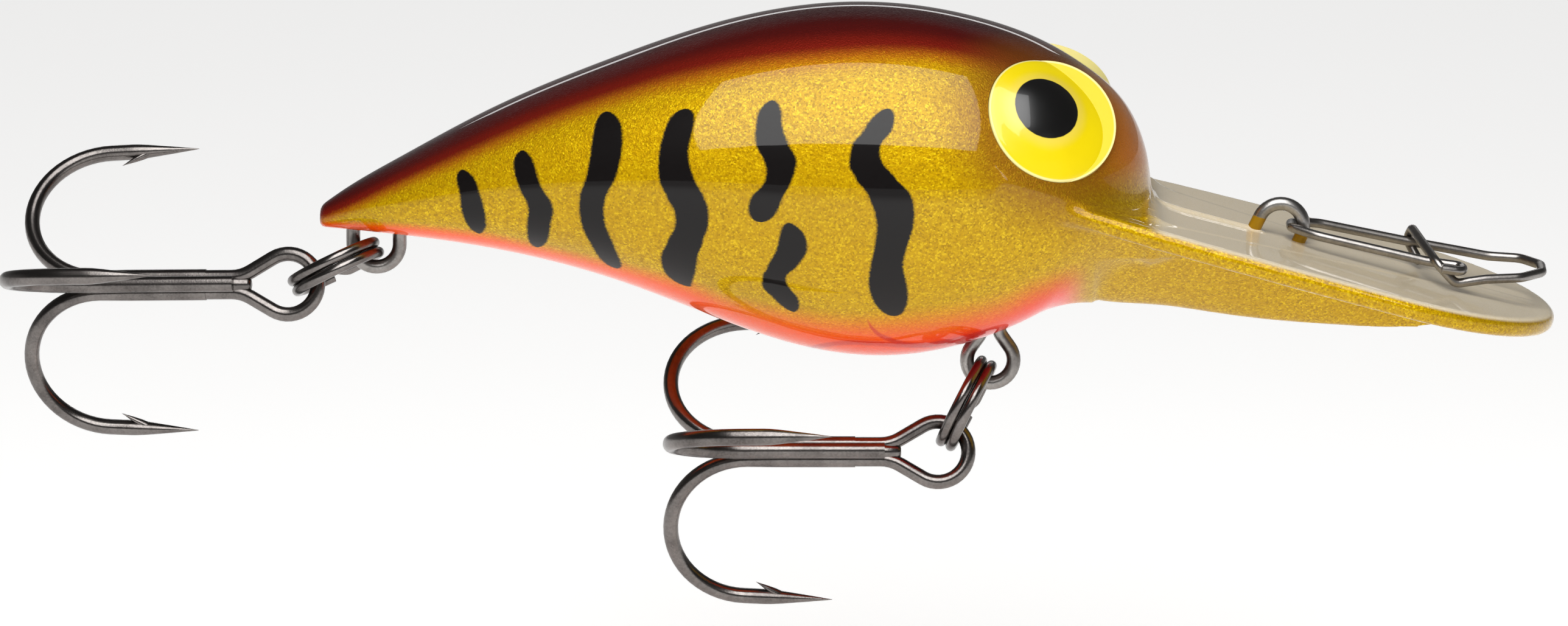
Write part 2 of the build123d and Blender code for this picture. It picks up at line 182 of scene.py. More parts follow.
def apply_modifier(obj: bpy.types.Object, kind: str, **settings: Any) -> None:
    """Add a modifier to a piece, set it and apply it.

    Args:
        obj: The piece.
        kind: The modifier's type.
        settings: Its properties.
    """
    select_only(obj)
    modifier = obj.modifiers.new(kind.title(), kind)
    for name, value in settings.items():
        setattr(modifier, name, value)
    bpy.ops.object.modifier_apply(modifier=modifier.name)


def cut(obj: bpy.types.Object, tool: bpy.types.Object, keep: Keep) -> None:
    """Cut a closed piece with another closed piece, which is used up."""
    apply_modifier(obj, "BOOLEAN", object=tool, operation=keep.value, solver="MANIFOLD")
    bpy.data.objects.remove(tool)


def smooth(obj: bpy.types.Object, angle: float = 35.0) -> None:
    """Turn a piece's faces outwards and shade it smooth up to an angle in degrees.

    Args:
        obj: The piece.
        angle: The sharpest angle that is shaded smooth.
    """
    select_only(obj)
    bpy.ops.object.mode_set(mode="EDIT")
    bpy.ops.mesh.select_all(action="SELECT")
    bpy.ops.mesh.normals_make_consistent(inside=False)
    bpy.ops.object.mode_set(mode="OBJECT")
    bpy.ops.object.shade_smooth_by_angle(angle=math.radians(angle))


def axes(origin: Vector, x_dir: Vector, z_dir: Vector) -> Matrix:
    """Frame with its x and z along two directions at right angles.

    Args:
        origin: Where the frame stands.
        x_dir: Its x direction, of any length.
        z_dir: Its z direction, of any length.

    Returns:
        The frame.
    """
    x, z = x_dir.normalized(), z_dir.normalized()
    turn = Matrix((x, z.cross(x), z)).transposed().to_4x4()
    return Matrix.Translation(origin) @ turn


def dress(piece: bpy.types.Object, finish: bpy.types.Material, body: str, node: str) -> None:
    """Give a piece its finish and say what it stands for.

    Args:
        piece: The finished piece.
        finish: Its material.
        body: The body that it rides on.
        node: The CAD node that it stands for.
    """
    piece.data.materials.clear()
    piece.data.materials.append(finish)
    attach(piece, body)
    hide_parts(node)
    log.info("%s stands for %s on %s: %d faces", piece.name, node, body, len(piece.data.polygons))


class DrawnFace:
    """A flat face that is drawn out step by step in edit mode, leaving a closed solid behind it."""

    def __init__(self, name: str, at: Vector, heading: Vector, radius: float, sides: int) -> None:
        """Set a filled circle at the start, facing the way it will be drawn.

        Args:
            name: The piece's name.
            at: The circle's centre.
            heading: The way that it faces.
            radius: Its radius.
            sides: Its number of sides.
        """
        bpy.ops.object.select_all(action="DESELECT")
        turn = heading.to_track_quat("Z", "Y").to_euler()
        bpy.ops.mesh.primitive_circle_add(
            vertices=sides, radius=radius, fill_type="NGON", location=at, rotation=turn)
        self.obj = bpy.context.object
        self.obj.name = name
        bpy.ops.object.transform_apply(location=True, rotation=True, scale=True)
        bpy.ops.object.mode_set(mode="EDIT")
        bpy.ops.mesh.select_mode(type="FACE")
        bpy.ops.mesh.select_all(action="SELECT")
        self.at = Vector(at)
        self.heading = heading.normalized()

    def draw(self, step: Vector) -> None:
        """Extrude the face by a step."""
        bpy.ops.mesh.extrude_region_move(TRANSFORM_OT_translate={"value": step})
        self.at = self.at + step

    def resize(self, x: float, y: float, z: float) -> None:
        """Resize the face about its own centre."""
        bpy.ops.transform.resize(value=(x, y, z), center_override=self.at)

    def done(self) -> bpy.types.Object:
        """Leave edit mode with every face turned outwards.

        Returns:
            The closed piece.
        """
        bpy.ops.mesh.select_all(action="SELECT")
        bpy.ops.mesh.normals_make_consistent(inside=False)
        bpy.ops.object.mode_set(mode="OBJECT")
        return self.obj


class BentWire(DrawnFace):
    """A round wire, drawn straight and spun round its bends."""

    def __init__(self, name: str, start: Sequence[float], towards: Sequence[float], thickness: float) -> None:
        """Start a wire at a point, heading for another.

        Args:
            name: The piece's name.
            start: The wire's cut end.
            towards: A point straight ahead of it.
            thickness: The wire's diameter.
        """
        start = Vector(start)
        super().__init__(name, start, Vector(towards) - start, thickness / 2, SIDES_OF_WIRE)
        self.thickness = thickness
        self.draw(self.heading * thickness * CUT_END)

    def straight_to(self, point: Vector) -> None:
        """Draw the wire straight on to a point ahead.

        Args:
            point: Where the straight run ends.
        """
        step = point - self.at
        if step.length > 1e-5:
            self.draw(step)

    def spin(self, centre: Vector, axis: Vector, angle: float, steps: int = 0) -> None:
        """Bend the wire about an axis.

        Args:
            centre: The centre of the bend.
            axis: The bend's axis; the wire turns left about it.
            angle: How far it turns, in radians.
            steps: How many steps it takes, or 0 to choose.
        """
        steps = steps or max(2, math.ceil(angle / BEND_STEP))
        bpy.ops.mesh.spin(steps=steps, angle=-angle, center=centre, axis=axis, use_auto_merge=False)
        turn = Matrix.Rotation(angle, 4, axis)
        self.at = centre + turn @ (self.at - centre)
        self.heading = turn @ self.heading

    def follow(self, points: Points, bends: Sequence[float]) -> None:
        """Draw the wire along straight runs with a round bend at each corner.

        Args:
            points: The corners ahead, and the end point.
            bends: The radius of each corner's bend.
        """
        runs = [Vector(p) for p in points]
        for corner, after, radius in zip(runs, runs[1:], bends):
            arrive = (corner - self.at).normalized()
            leave = (after - corner).normalized()
            angle = arrive.angle(leave)
            self.straight_to(corner - arrive * radius * math.tan(angle / 2))
            inward = (leave - arrive * arrive.dot(leave)).normalized()
            self.spin(self.at + inward * radius, arrive.cross(leave).normalized(), angle)
        self.straight_to(runs[-1])

    def blunt(self) -> None:
        """Round off the cut end that was drawn last."""
        for step, left in ((0.06, 0.93), (0.05, 0.75)):
            self.draw(self.heading * self.thickness * step)
            self.resize(left, left, left)


# ---------------------------------------------------------------- node tools
def srgb(red: int, green: int, blue: int) -> tuple[float, float, float, float]:
    """Linear colour from a colour on the usual 0 to 255 scale.

    Args:
        red: The red level.
        green: The green level.
        blue: The blue level.

    Returns:
        The colour, with an alpha of 1.
    """
    def linear(level: float) -> float:
        """Undo the display curve of one level from 0 to 1."""
        return level / 12.92 if level <= 0.04045 else ((level + 0.055) / 1.055) ** 2.4
    return (linear(red / 255), linear(green / 255), linear(blue / 255), 1.0)


class NodeSheet:
    """Adds and links nodes in one tree."""

    def __init__(self, tree: bpy.types.NodeTree) -> None:
        """Work in an emptied node tree."""
        self.tree = tree
        tree.nodes.clear()

    def node(self, kind: str, **settings: Any) -> bpy.types.Node:
        """Add a node and set its properties.

        Args:
            kind: The node's type.
            settings: Its properties.

        Returns:
            The node.
        """
        made = self.tree.nodes.new(kind)
        for name, value in settings.items():
            setattr(made, name, value)
        return made

    def feed(self, socket: bpy.types.NodeSocket, source: Any) -> None:
        """Link an output to a socket, or set the socket to a plain value.

        Args:
            socket: The socket that is fed.
            source: An output socket or a value.
        """
        if isinstance(source, bpy.types.NodeSocket):
            self.tree.links.new(source, socket)
        else:
            socket.default_value = source

    def math(self, operation: str, *sources: Any, clamp: bool = False) -> bpy.types.NodeSocket:
        """One step of arithmetic.

        Args:
            operation: The Math node's operation.
            sources: What feeds its inputs.
            clamp: Whether the result is held from 0 to 1.

        Returns:
            The output socket.
        """
        made = self.node("ShaderNodeMath", operation=operation, use_clamp=clamp)
        for socket, source in zip(made.inputs, sources):
            self.feed(socket, source)
        return made.outputs[0]

    def vector(self, operation: str, *sources: Any, output: str = "Vector") -> bpy.types.NodeSocket:
        """One step of vector arithmetic.

        Args:
            operation: The Vector Math node's operation.
            sources: What feeds its inputs.
            output: The output that is read.

        Returns:
            The output socket.
        """
        made = self.node("ShaderNodeVectorMath", operation=operation)
        for socket, source in zip(made.inputs, sources):
            self.feed(socket, source)
        return made.outputs[output]

    def mapped(self, value: Any, low: float, high: float, to_low: float = 0.0, to_high: float = 1.0,
               kind: str = "LINEAR") -> bpy.types.NodeSocket:
        """Bring a value from one range to another, held at its ends.

        Args:
            value: The value.
            low: Where the first range starts.
            high: Where it ends.
            to_low: Where the second range starts.
            to_high: Where it ends.
            kind: How the value runs between the ends.

        Returns:
            The output socket.
        """
        made = self.node("ShaderNodeMapRange", interpolation_type=kind, clamp=True)
        for name, source in (("Value", value), ("From Min", low), ("From Max", high),
                             ("To Min", to_low), ("To Max", to_high)):
            self.feed(made.inputs[name], source)
        return made.outputs[0]

    def curve(self, value: Any, points: Points) -> bpy.types.NodeSocket:
        """Read a value off a smooth curve through points given in the value's own units.

        Args:
            value: The value.
            points: Pairs of a value and what is read there, from low to high.

        Returns:
            The output socket.
        """
        xs = [p[0] for p in points]
        ys = [p[1] for p in points]
        low_y, high_y = min(ys) - 1, max(ys) + 1
        made = self.node("ShaderNodeFloatCurve")
        line = made.mapping.curves[0]
        spots = [((x - xs[0]) / (xs[-1] - xs[0]), (y - low_y) / (high_y - low_y)) for x, y in points]
        for i, spot in enumerate(spots):
            if i < 2:
                line.points[i].location = spot
            else:
                line.points.new(*spot)
        line.points[1].location = spots[1]
        made.mapping.update()
        self.feed(made.inputs["Value"], self.mapped(value, xs[0], xs[-1]))
        return self.mapped(made.outputs[0], 0.0, 1.0, low_y, high_y)

    def mix(self, amount: Any, first: Any, second: Any) -> bpy.types.NodeSocket:
        """Mix two colours.

        Args:
            amount: The second colour's share.
            first: The first colour.
            second: The second colour.

        Returns:
            The output socket.
        """
        made = self.node("ShaderNodeMix", data_type="RGBA")
        self.feed(made.inputs[0], amount)
        self.feed(made.inputs[6], first)
        self.feed(made.inputs[7], second)
        return made.outputs[2]

    def ramp(self, value: Any, stops: Shades) -> bpy.types.NodeSocket:
        """Colour ramp with eased steps.

        Args:
            value: The value that picks the colour.
            stops: Places from 0 to 1 and their colours.

        Returns:
            The output socket.
        """
        made = self.node("ShaderNodeValToRGB")
        made.color_ramp.interpolation = "EASE"
        elements = made.color_ramp.elements
        while len(elements) < len(stops):
            elements.new(0.5)
        for element, (at, colour) in zip(elements, stops):
            element.position = at
            element.color = srgb(*colour)
        self.feed(made.inputs[0], value)
        return made.outputs[0]

    def noise(self, scale: float, detail: float = 2.0) -> bpy.types.NodeSocket:
        """Noise on object coordinates.

        Args:
            scale: Its waves per metre.
            detail: Its layers of finer noise.

        Returns:
            The output socket.
        """
        made = self.node("ShaderNodeTexNoise")
        made.inputs["Scale"].default_value = scale
        made.inputs["Detail"].default_value = detail
        self.feed(made.inputs["Vector"], self.place())
        return made.outputs["Fac"]

    def place(self) -> bpy.types.NodeSocket:
        """Object coordinates."""
        return self.node("ShaderNodeTexCoord").outputs["Object"]

    def group(self, name: str, **sources: Any) -> bpy.types.Node:
        """Place a node group and feed its inputs.

        Args:
            name: The group's name.
            sources: What feeds each input.

        Returns:
            The group's node.
        """
        made = self.node("ShaderNodeGroup", node_tree=bpy.data.node_groups[name])
        for socket, source in sources.items():
            self.feed(made.inputs[socket], source)
        return made


def new_group(name: str, inputs: dict[str, Any], outputs: dict[str, str]) -> tuple[NodeSheet, Any, Any]:
    """Make an empty shader node group.

    Args:
        name: The group's name.
        inputs: Each input's name and its starting value, a number or a vector.
        outputs: Each output's name and its socket type.

    Returns:
        The group's sheet, its input node and its output node.
    """
    tree = bpy.data.node_groups.new(name, "ShaderNodeTree")
    for label, value in inputs.items():
        kind = "NodeSocketFloat" if isinstance(value, float) else "NodeSocketVector"
        tree.interface.new_socket(name=label, in_out="INPUT", socket_type=kind).default_value = value
    for label, kind in outputs.items():
        tree.interface.new_socket(name=label, in_out="OUTPUT", socket_type=kind)
    sheet = NodeSheet(tree)
    return sheet, sheet.node("NodeGroupInput"), sheet.node("NodeGroupOutput")


def build_groups() -> None:
    """Build the effects that more than one finish uses."""
    number = "NodeSocketFloat"
    sheet, given, out = new_group(
        "fine_grain", {"Scale": 1000.0, "Strength": 0.1}, {"Height": number, "Fleck": number})
    texture = sheet.node("ShaderNodeTexNoise")
    texture.inputs["Detail"].default_value = 3.0
    sheet.feed(texture.inputs["Vector"], sheet.place())
    sheet.feed(texture.inputs["Scale"], given.outputs["Scale"])
    height = sheet.math("MULTIPLY", texture.outputs["Fac"], given.outputs["Strength"])
    sheet.feed(out.inputs["Height"], height)
    cells = sheet.node("ShaderNodeTexVoronoi")
    sheet.feed(cells.inputs["Vector"], sheet.place())
    sheet.feed(cells.inputs["Scale"], given.outputs["Scale"])
    split = sheet.node("ShaderNodeSeparateColor")
    sheet.feed(split.inputs[0], cells.outputs["Color"])
    sheet.feed(out.inputs["Fleck"], split.outputs[0])

    sheet, given, out = new_group(
        "round_about", {"Centre": (0.0, 0.0, 0.0), "Axis": (0.0, 0.0, 1.0)}, {"Radius": number})
    offset = sheet.vector("SUBTRACT", sheet.place(), given.outputs["Centre"])
    along = sheet.vector("DOT_PRODUCT", offset, given.outputs["Axis"], output="Value")
    shadow = sheet.node("ShaderNodeVectorMath", operation="SCALE")
    sheet.feed(shadow.inputs[0], given.outputs["Axis"])
    sheet.feed(shadow.inputs["Scale"], along)
    flat = sheet.vector("SUBTRACT", offset, shadow.outputs[0])
    radius = sheet.vector("LENGTH", flat, output="Value")
    sheet.feed(out.inputs["Radius"], sheet.math("MULTIPLY", radius, 1 / MM))


# ---------------------------------------------------------------- finishes
@dataclass(frozen=True)
class Finish:
    """A named procedural finish."""

    name: str

    def start(self) -> tuple[bpy.types.Material, NodeSheet, bpy.types.Node]:
        """Make the material with its shader and output.

        Returns:
            The material, its sheet and its shader.
        """
        material = bpy.data.materials.new(self.name)
        material.use_nodes = True
        sheet = NodeSheet(material.node_tree)
        shader = sheet.node("ShaderNodeBsdfPrincipled")
        output = sheet.node("ShaderNodeOutputMaterial")
        sheet.feed(output.inputs["Surface"], shader.outputs[0])
        return material, sheet, shader

    def lacquer(self, shader: bpy.types.Node) -> None:
        """Put the clear coat on a shader."""
        for name, value in (("Coat Weight", 1.0), ("Coat Roughness", 0.03), ("Coat IOR", 1.3)):
            shader.inputs[name].default_value = value

    def bump(self, sheet: NodeSheet, shader: bpy.types.Node, height: Any, distance: float) -> None:
        """Feed a height to the shader's normal; the distance is in metres.

        Args:
            sheet: The material's sheet.
            shader: Its shader.
            height: The height, from 0 to 1.
            distance: How far a height of 1 stands out, in metres.
        """
        made = sheet.node("ShaderNodeBump")
        made.inputs["Distance"].default_value = distance
        sheet.feed(made.inputs["Height"], height)
        sheet.feed(shader.inputs["Normal"], made.outputs[0])


@dataclass(frozen=True)
class WireFinish(Finish):
    """Plated wire, with faint draw marks and a little darkening in patches."""

    bright: Colour
    dull: Colour
    roughness: float
    grain: float = 9000.0
    dipped: float | None = None
    gold: Colour = (176, 132, 8)
    lip_slope: float = math.radians(15)

    def build(self) -> bpy.types.Material:
        """Make the material; a dipped wire has gold paint on its foot, up to a height above the lip.

        Returns:
            The material.
        """
        material, sheet, shader = self.start()
        patches = sheet.noise(420.0, 3.0)
        marks = sheet.group("fine_grain", Scale=self.grain, Strength=1.0)
        level = sheet.mapped(patches, 0.35, 0.65)
        level = sheet.math("ADD", sheet.math("MULTIPLY", level, 0.7),
                           sheet.math("MULTIPLY", marks.outputs["Fleck"], 0.3), clamp=True)
        colour = sheet.mix(level, srgb(*self.dull), srgb(*self.bright))
        if self.dipped is None:
            shader.inputs["Metallic"].default_value = 1.0
        else:
            split = sheet.node("ShaderNodeSeparateXYZ")
            sheet.feed(split.inputs[0], sheet.place())
            above = sheet.math("MULTIPLY_ADD", split.outputs[0], math.tan(self.lip_slope), split.outputs[2])
            ragged = sheet.math("MULTIPLY_ADD", patches, 0.0004, above)
            foot = sheet.mapped(ragged, self.dipped * MM, (self.dipped - 0.06) * MM)
            colour = sheet.mix(foot, colour, srgb(*self.gold))
            sheet.feed(shader.inputs["Metallic"], sheet.mapped(foot, 0.0, 1.0, 1.0, 0.4))
        sheet.feed(shader.inputs["Base Color"], colour)
        rough = sheet.mapped(level, 0.0, 1.0, self.roughness + 0.07, self.roughness)
        sheet.feed(shader.inputs["Roughness"], rough)
        self.bump(sheet, shader, marks.outputs["Height"], 0.000004)
        return material


@dataclass(frozen=True)
class CastFinish(Finish):
    """Dull cast or ground metal of the inner pieces."""

    colour: Colour
    roughness: float
    shaded: float = 0.72
    spread: float = 0.08

    def build(self) -> bpy.types.Material:
        """Make the material.

        Returns:
            The material.
        """
        material, sheet, shader = self.start()
        grain = sheet.group("fine_grain", Scale=2500.0, Strength=1.0)
        dark = tuple(int(c * self.shaded) for c in self.colour)
        colour = sheet.mix(sheet.noise(700.0, 4.0), srgb(*dark), srgb(*self.colour))
        sheet.feed(shader.inputs["Base Color"], colour)
        shader.inputs["Metallic"].default_value = 1.0
        rough = sheet.mapped(grain.outputs["Fleck"], 0.0, 1.0, self.roughness - self.spread,
                             self.roughness + self.spread)
        sheet.feed(shader.inputs["Roughness"], rough)
        self.bump(sheet, shader, grain.outputs["Height"], 0.00001)
        return material


@dataclass(frozen=True)
class EyeFinish(Finish):
    """Yellow enamel with a black pupil on the raised boss, a paler painted highlight ring round the boss, and
    a pale line round the rim.
    """

    centre: tuple[float, ...]
    pupil: tuple[float, ...]
    axis: tuple[float, ...]
    pupil_radius: float = 2.02
    rim_radius: float = 3.92
    yellows: tuple[Colour, Colour] = ((240, 212, 0), (246, 222, 0))
    boss_highlight: Colour = (240, 214, 84)
    rim: Colour = (250, 236, 150)
    black: Colour = (12, 11, 11)

    def build(self) -> bpy.types.Material:
        """Make the material.

        Returns:
            The material.
        """
        material, sheet, shader = self.start()
        rings = [sheet.group("round_about", Centre=tuple(c * MM for c in centre), Axis=self.axis)
                 for centre in (self.centre, self.pupil)]
        disc, boss = (ring.outputs["Radius"] for ring in rings)
        ragged = sheet.math("MULTIPLY_ADD", sheet.noise(2500.0), 0.05, -0.025)
        edge = sheet.math("ADD", boss, ragged)
        yellow = sheet.mix(sheet.noise(300.0), *(srgb(*c) for c in self.yellows))
        # Painted highlight: a paler yellow ring round the boss, where its flank catches the light.
        boss_highlight = sheet.mapped(boss, 2.8, 2.1, kind="SMOOTHSTEP")
        yellow = sheet.mix(sheet.math("MULTIPLY", boss_highlight, 0.7), yellow, srgb(*self.boss_highlight))
        rim = sheet.mapped(disc, self.rim_radius, self.rim_radius + 0.06, kind="SMOOTHSTEP")
        yellow = sheet.mix(rim, yellow, srgb(*self.rim))
        pupil = sheet.mapped(edge, self.pupil_radius + 0.03, self.pupil_radius - 0.03, kind="SMOOTHSTEP")
        sheet.feed(shader.inputs["Base Color"], sheet.mix(pupil, yellow, srgb(*self.black)))
        shader.inputs["Roughness"].default_value = 0.3
        self.lacquer(shader)
        grain = sheet.group("fine_grain", Scale=1500.0, Strength=1.0)
        self.bump(sheet, shader, grain.outputs["Height"], 0.000003)
        return material


@dataclass(frozen=True)
class Stripe:
    """One sprayed black bar: its middle line and half-width at a few heights, from low to high."""

    middle: Points
    half: Points


STRIPES = (
    Stripe(((-0.55, -48.95), (0.5, -49.24), (1.9, -49.52), (3.45, -50)),
           ((-0.55, -0.3), (-0.2, 0.49), (0.5, 0.73), (1.9, 0.68), (3.1, 0.49), (3.45, -0.3))),
    Stripe(((-1.35, -45.4), (0.2, -45.3), (0.95, -45.19), (2.35, -45.84), (3.78, -46.23), (4.6, -46.3)),
           ((-1.35, -0.3), (-1, 0.58), (0.2, 0.79), (2.35, 0.75), (4.1, 0.57), (4.6, -0.3))),
    Stripe(((-2.65, -40.5), (-1.32, -41.38), (1, -42.09), (3.32, -41.4), (5.65, -41.1), (6.95, -41.16)),
           ((-2.65, -0.3), (-2.3, 0.55), (-1.32, 0.73), (1, 0.8), (3.3, 0.97), (5.7, 0.93), (6.5, 0.68),
            (6.95, -0.3))),
    Stripe(((-3.75, -36.1), (-2.3, -36.78), (-1, -36.4), (0.4, -35.98), (1.7, -36.39), (3, -36.96),
            (4.3, -37.09), (5.6, -36.83), (7.1, -36.35)),
           ((-3.75, -0.3), (-3.3, 0.68), (-2.3, 1.13), (0.4, 1.06), (1.7, 1.18), (4.3, 0.95), (6.5, 0.79),
            (7.1, -0.3))),
    Stripe(((0.15, -31.8), (1.5, -31.5), (2.7, -30.75), (3.6, -30.6), (5.1, -31.18), (6.3, -31.3),
            (7.6, -31.1)),
           ((0.15, -0.3), (0.5, 0.73), (1.3, 1.01), (2.7, 0.87), (4.4, 1.07), (6, 0.85), (7, 0.68),
            (7.6, -0.3))),
    Stripe(((-5.3, -29.75), (-4.5, -30.25), (-3.3, -31), (-2.5, -30.51), (-1.25, -29.9), (0.2, -30.14)),
           ((-5.3, -0.3), (-4.9, 0.58), (-3.9, 0.86), (-3.2, 0.77), (-2.2, 0.99), (-1, 0.91), (-0.2, 0.58),
            (0.2, -0.3))),
    Stripe(((-5.55, -23.7), (-4, -24.04), (-2.6, -24.17), (-1.2, -23.9), (0.1, -23.67), (1.5, -23.89),
            (2.9, -24.9), (4.3, -25.49), (5.7, -24.75), (7.1, -24.1)),
           ((-5.55, -0.3), (-5.1, 0.83), (-4, 1.21), (-2.2, 1.03), (0.1, 1.18), (1.8, 1.35), (3.1, 1.23),
            (4.3, 0.95), (6.2, 0.83), (7.1, -0.3))),
)


@dataclass(frozen=True)
class Flank:
    """Where a point of the paint lies, as sockets of one material, in millimetres."""

    sheet: NodeSheet
    along: Any
    side: Any
    up: Any
    height: Any
    spray: Any
    fleck: Any


@dataclass(frozen=True)
class LurePaint(Finish):
    """Gold flake paint under lacquer, with a dark red back, an orange belly, black bars, red gill lines and a
    painted beige reflection on the lip's top.

    The pattern is laid out on the flank by distance along the body and by height along a line that
    leans in a little towards the back, so both flanks carry the same pattern.
    """

    lean: float = math.radians(11)
    back_line: Points = (
        (-58.8, 1.7), (-57, 2.6), (-54, 4.3), (-50, 6.5), (-45, 8.9), (-40, 10.75), (-35, 12.5), (-30, 13.4),
        (-24, 13.5), (-20, 12.95), (-16, 11.85), (-14, 11.0), (-12, 9.8), (-10, 8.0), (-8, 5.0))
    back_depth: Points = (
        (-58.8, 1.4), (-54, 1.9), (-50, 2.35), (-45, 2.65), (-40, 2.8), (-35, 3.35), (-30, 3.5), (-24, 3.15),
        (-20, 2.85), (-15, 2.8), (-8, 3.4))
    belly_line: Points = (
        (-58.8, 0.0), (-50, -0.9), (-45, -2.0), (-38, -4.0), (-31, -6.7), (-25, -7.8), (-20, -7.6),
        (-15, -5.8), (-11, -3.2), (-8, 0.0))
    belly_depth: Points = (
        (-58.8, 0.35), (-50, 0.7), (-42, 0.9), (-34, 1.5), (-26, 2.2), (-18, 2.6), (-13, 2.1),
        (-10.5, 0.4), (-8, 0.0))
    upper_gill: Points = (
        (-25.3, -5.8), (-24.9, -6.4), (-24.2, -6.85), (-22.2, -7.3), (-20.3, -7.03), (-17.6, -6.3))
    lower_gill: Points = (
        (-29.3, -7.6), (-28.3, -7.37), (-26.6, -7.14), (-25.1, -7.18), (-22.2, -7.3), (-19.0, -6.9))
    throat_x: float = -18.6
    eye_centre: Spot = (-13.9, 6.3, 7.9)
    lip_drop: float = 0.68
    lip_slope: float = math.radians(15)
    flakes: Shades = (
        (0.0, (164, 124, 0)), (0.3, (190, 148, 0)), (0.75, (202, 161, 0)), (1.0, (226, 190, 12)))
    patches: Colour = (182, 140, 0)
    back_shades: Shades = (
        (0.0, (40, 16, 17)), (0.2, (60, 14, 15)), (0.4, (88, 15, 12)), (0.6, (124, 26, 12)),
        (0.8, (168, 62, 14)), (1.0, (198, 120, 10)))
    oranges: tuple[Colour, Colour] = ((250, 84, 0), (244, 40, 0))
    cheek: Colour = (128, 74, 18)
    nose: Colour = (200, 112, 22)
    throat: Colour = (214, 18, 26)
    gill: Colour = (196, 32, 22)
    reflection_beiges: tuple[Colour, Colour] = ((250, 238, 214), (222, 203, 165))
    black: Colour = (17, 14, 14)

    def lay_out(self, sheet: NodeSheet, fleck: Any) -> Flank:
        """Lay out the pattern's coordinates.

        Args:
            sheet: The material's sheet.
            fleck: The paint's flakes, from 0 to 1.

        Returns:
            The coordinates.
        """
        split = sheet.node("ShaderNodeSeparateXYZ")
        sheet.feed(split.inputs[0], sheet.place())
        along = sheet.math("MULTIPLY", split.outputs[0], 1 / MM)
        side = sheet.math("MULTIPLY", sheet.math("ABSOLUTE", split.outputs[1]), 1 / MM)
        up = sheet.math("MULTIPLY", split.outputs[2], 1 / MM)
        height = sheet.math("SUBTRACT", sheet.math("MULTIPLY", up, math.cos(self.lean)),
                            sheet.math("MULTIPLY", side, math.sin(self.lean)))
        spray = sheet.math("MULTIPLY_ADD", sheet.noise(9000.0, 1.0), 0.5, -0.25)
        return Flank(sheet, along, side, up, height, spray, fleck)

    def gold(self, at: Flank) -> Any:
        """Mix the gold flake with its broad soft patches.

        Args:
            at: The pattern's coordinates.

        Returns:
            The colour.
        """
        sheet = at.sheet
        broad = sheet.mapped(sheet.noise(160.0, 2.0), 0.3, 0.7)
        return sheet.mix(sheet.math("MULTIPLY", broad, 0.35), sheet.ramp(at.fleck, self.flakes),
                         srgb(*self.patches))

    def spray_belly(self, at: Flank, colour: Any) -> tuple[Any, Any]:
        """Spray the orange belly.

        Args:
            at: The pattern's coordinates.
            colour: The colour under it.

        Returns:
            The colour, and where the belly's orange lies, from 0 to 1.
        """
        sheet = at.sheet
        deep = sheet.math("MAXIMUM", sheet.curve(at.along, self.belly_depth), 0.05)
        share = sheet.math("DIVIDE", self.above_belly(at), deep)
        before_lip = sheet.mapped(at.along, -11.6, -13.8, kind="SMOOTHSTEP")
        mask = sheet.math("MULTIPLY", sheet.mapped(share, 1.25, 0.2, kind="SMOOTHSTEP"), before_lip)
        orange = sheet.mix(sheet.mapped(at.along, -30.0, -14.0), *(srgb(*c) for c in self.oranges))
        return sheet.mix(mask, colour, orange), mask

    def above_belly(self, at: Flank) -> Any:
        """Height above the belly's line, ragged with spray."""
        low = at.sheet.math("SUBTRACT", at.height, at.sheet.curve(at.along, self.belly_line))
        return at.sheet.math("ADD", low, at.sheet.math("MULTIPLY", at.spray, 0.5))

    def spray_back(self, at: Flank, colour: Any) -> Any:
        """Spray the dark red back, which fades down the flank and ends on the forehead.

        Args:
            at: The pattern's coordinates.
            colour: The colour under it.

        Returns:
            The colour.
        """
        sheet = at.sheet
        deep = sheet.math("SUBTRACT", sheet.curve(at.along, self.back_line), at.height)
        deep = sheet.math("ADD", deep, sheet.math("MULTIPLY", at.spray, 0.6))
        share = sheet.math("DIVIDE", deep, sheet.curve(at.along, self.back_depth))
        mask = sheet.mapped(share, 1.4, 0.75, kind="SMOOTHSTEP")
        off_lip = sheet.mapped(at.along, -10.5, -6.5, 1.0, 0.0, kind="SMOOTHSTEP")
        mask = sheet.math("MULTIPLY", mask, off_lip)
        mask = sheet.math("MULTIPLY", mask, sheet.mapped(at.along, -14.0, -8.8, 1.0, 0.15))
        return sheet.mix(mask, colour, sheet.ramp(sheet.mapped(share, -0.2, 1.4), self.back_shades))

    def spray_face(self, at: Flank, colour: Any) -> Any:
        """Spray the brown round the eye and the nose's orange brown.

        Args:
            at: The pattern's coordinates.
            colour: The colour under it.

        Returns:
            The colour.
        """
        sheet = at.sheet
        spot = sheet.node("ShaderNodeCombineXYZ")
        for socket, source in zip(spot.inputs, (at.along, at.side, at.up)):
            sheet.feed(socket, source)
        away = sheet.vector("DISTANCE", spot.outputs[0], self.eye_centre, output="Value")
        cheek = sheet.math("MULTIPLY", sheet.mapped(away, 8.2, 4.0, kind="SMOOTHSTEP"), 0.75)
        colour = sheet.mix(cheek, colour, srgb(*self.cheek))
        nose = sheet.math("MULTIPLY", sheet.mapped(at.along, -13.0, -9.0, kind="SMOOTHSTEP"),
                          sheet.mapped(at.height, 1.5, 4.5, kind="SMOOTHSTEP"))
        return sheet.mix(sheet.math("MULTIPLY", nose, 0.85), colour, srgb(*self.nose))

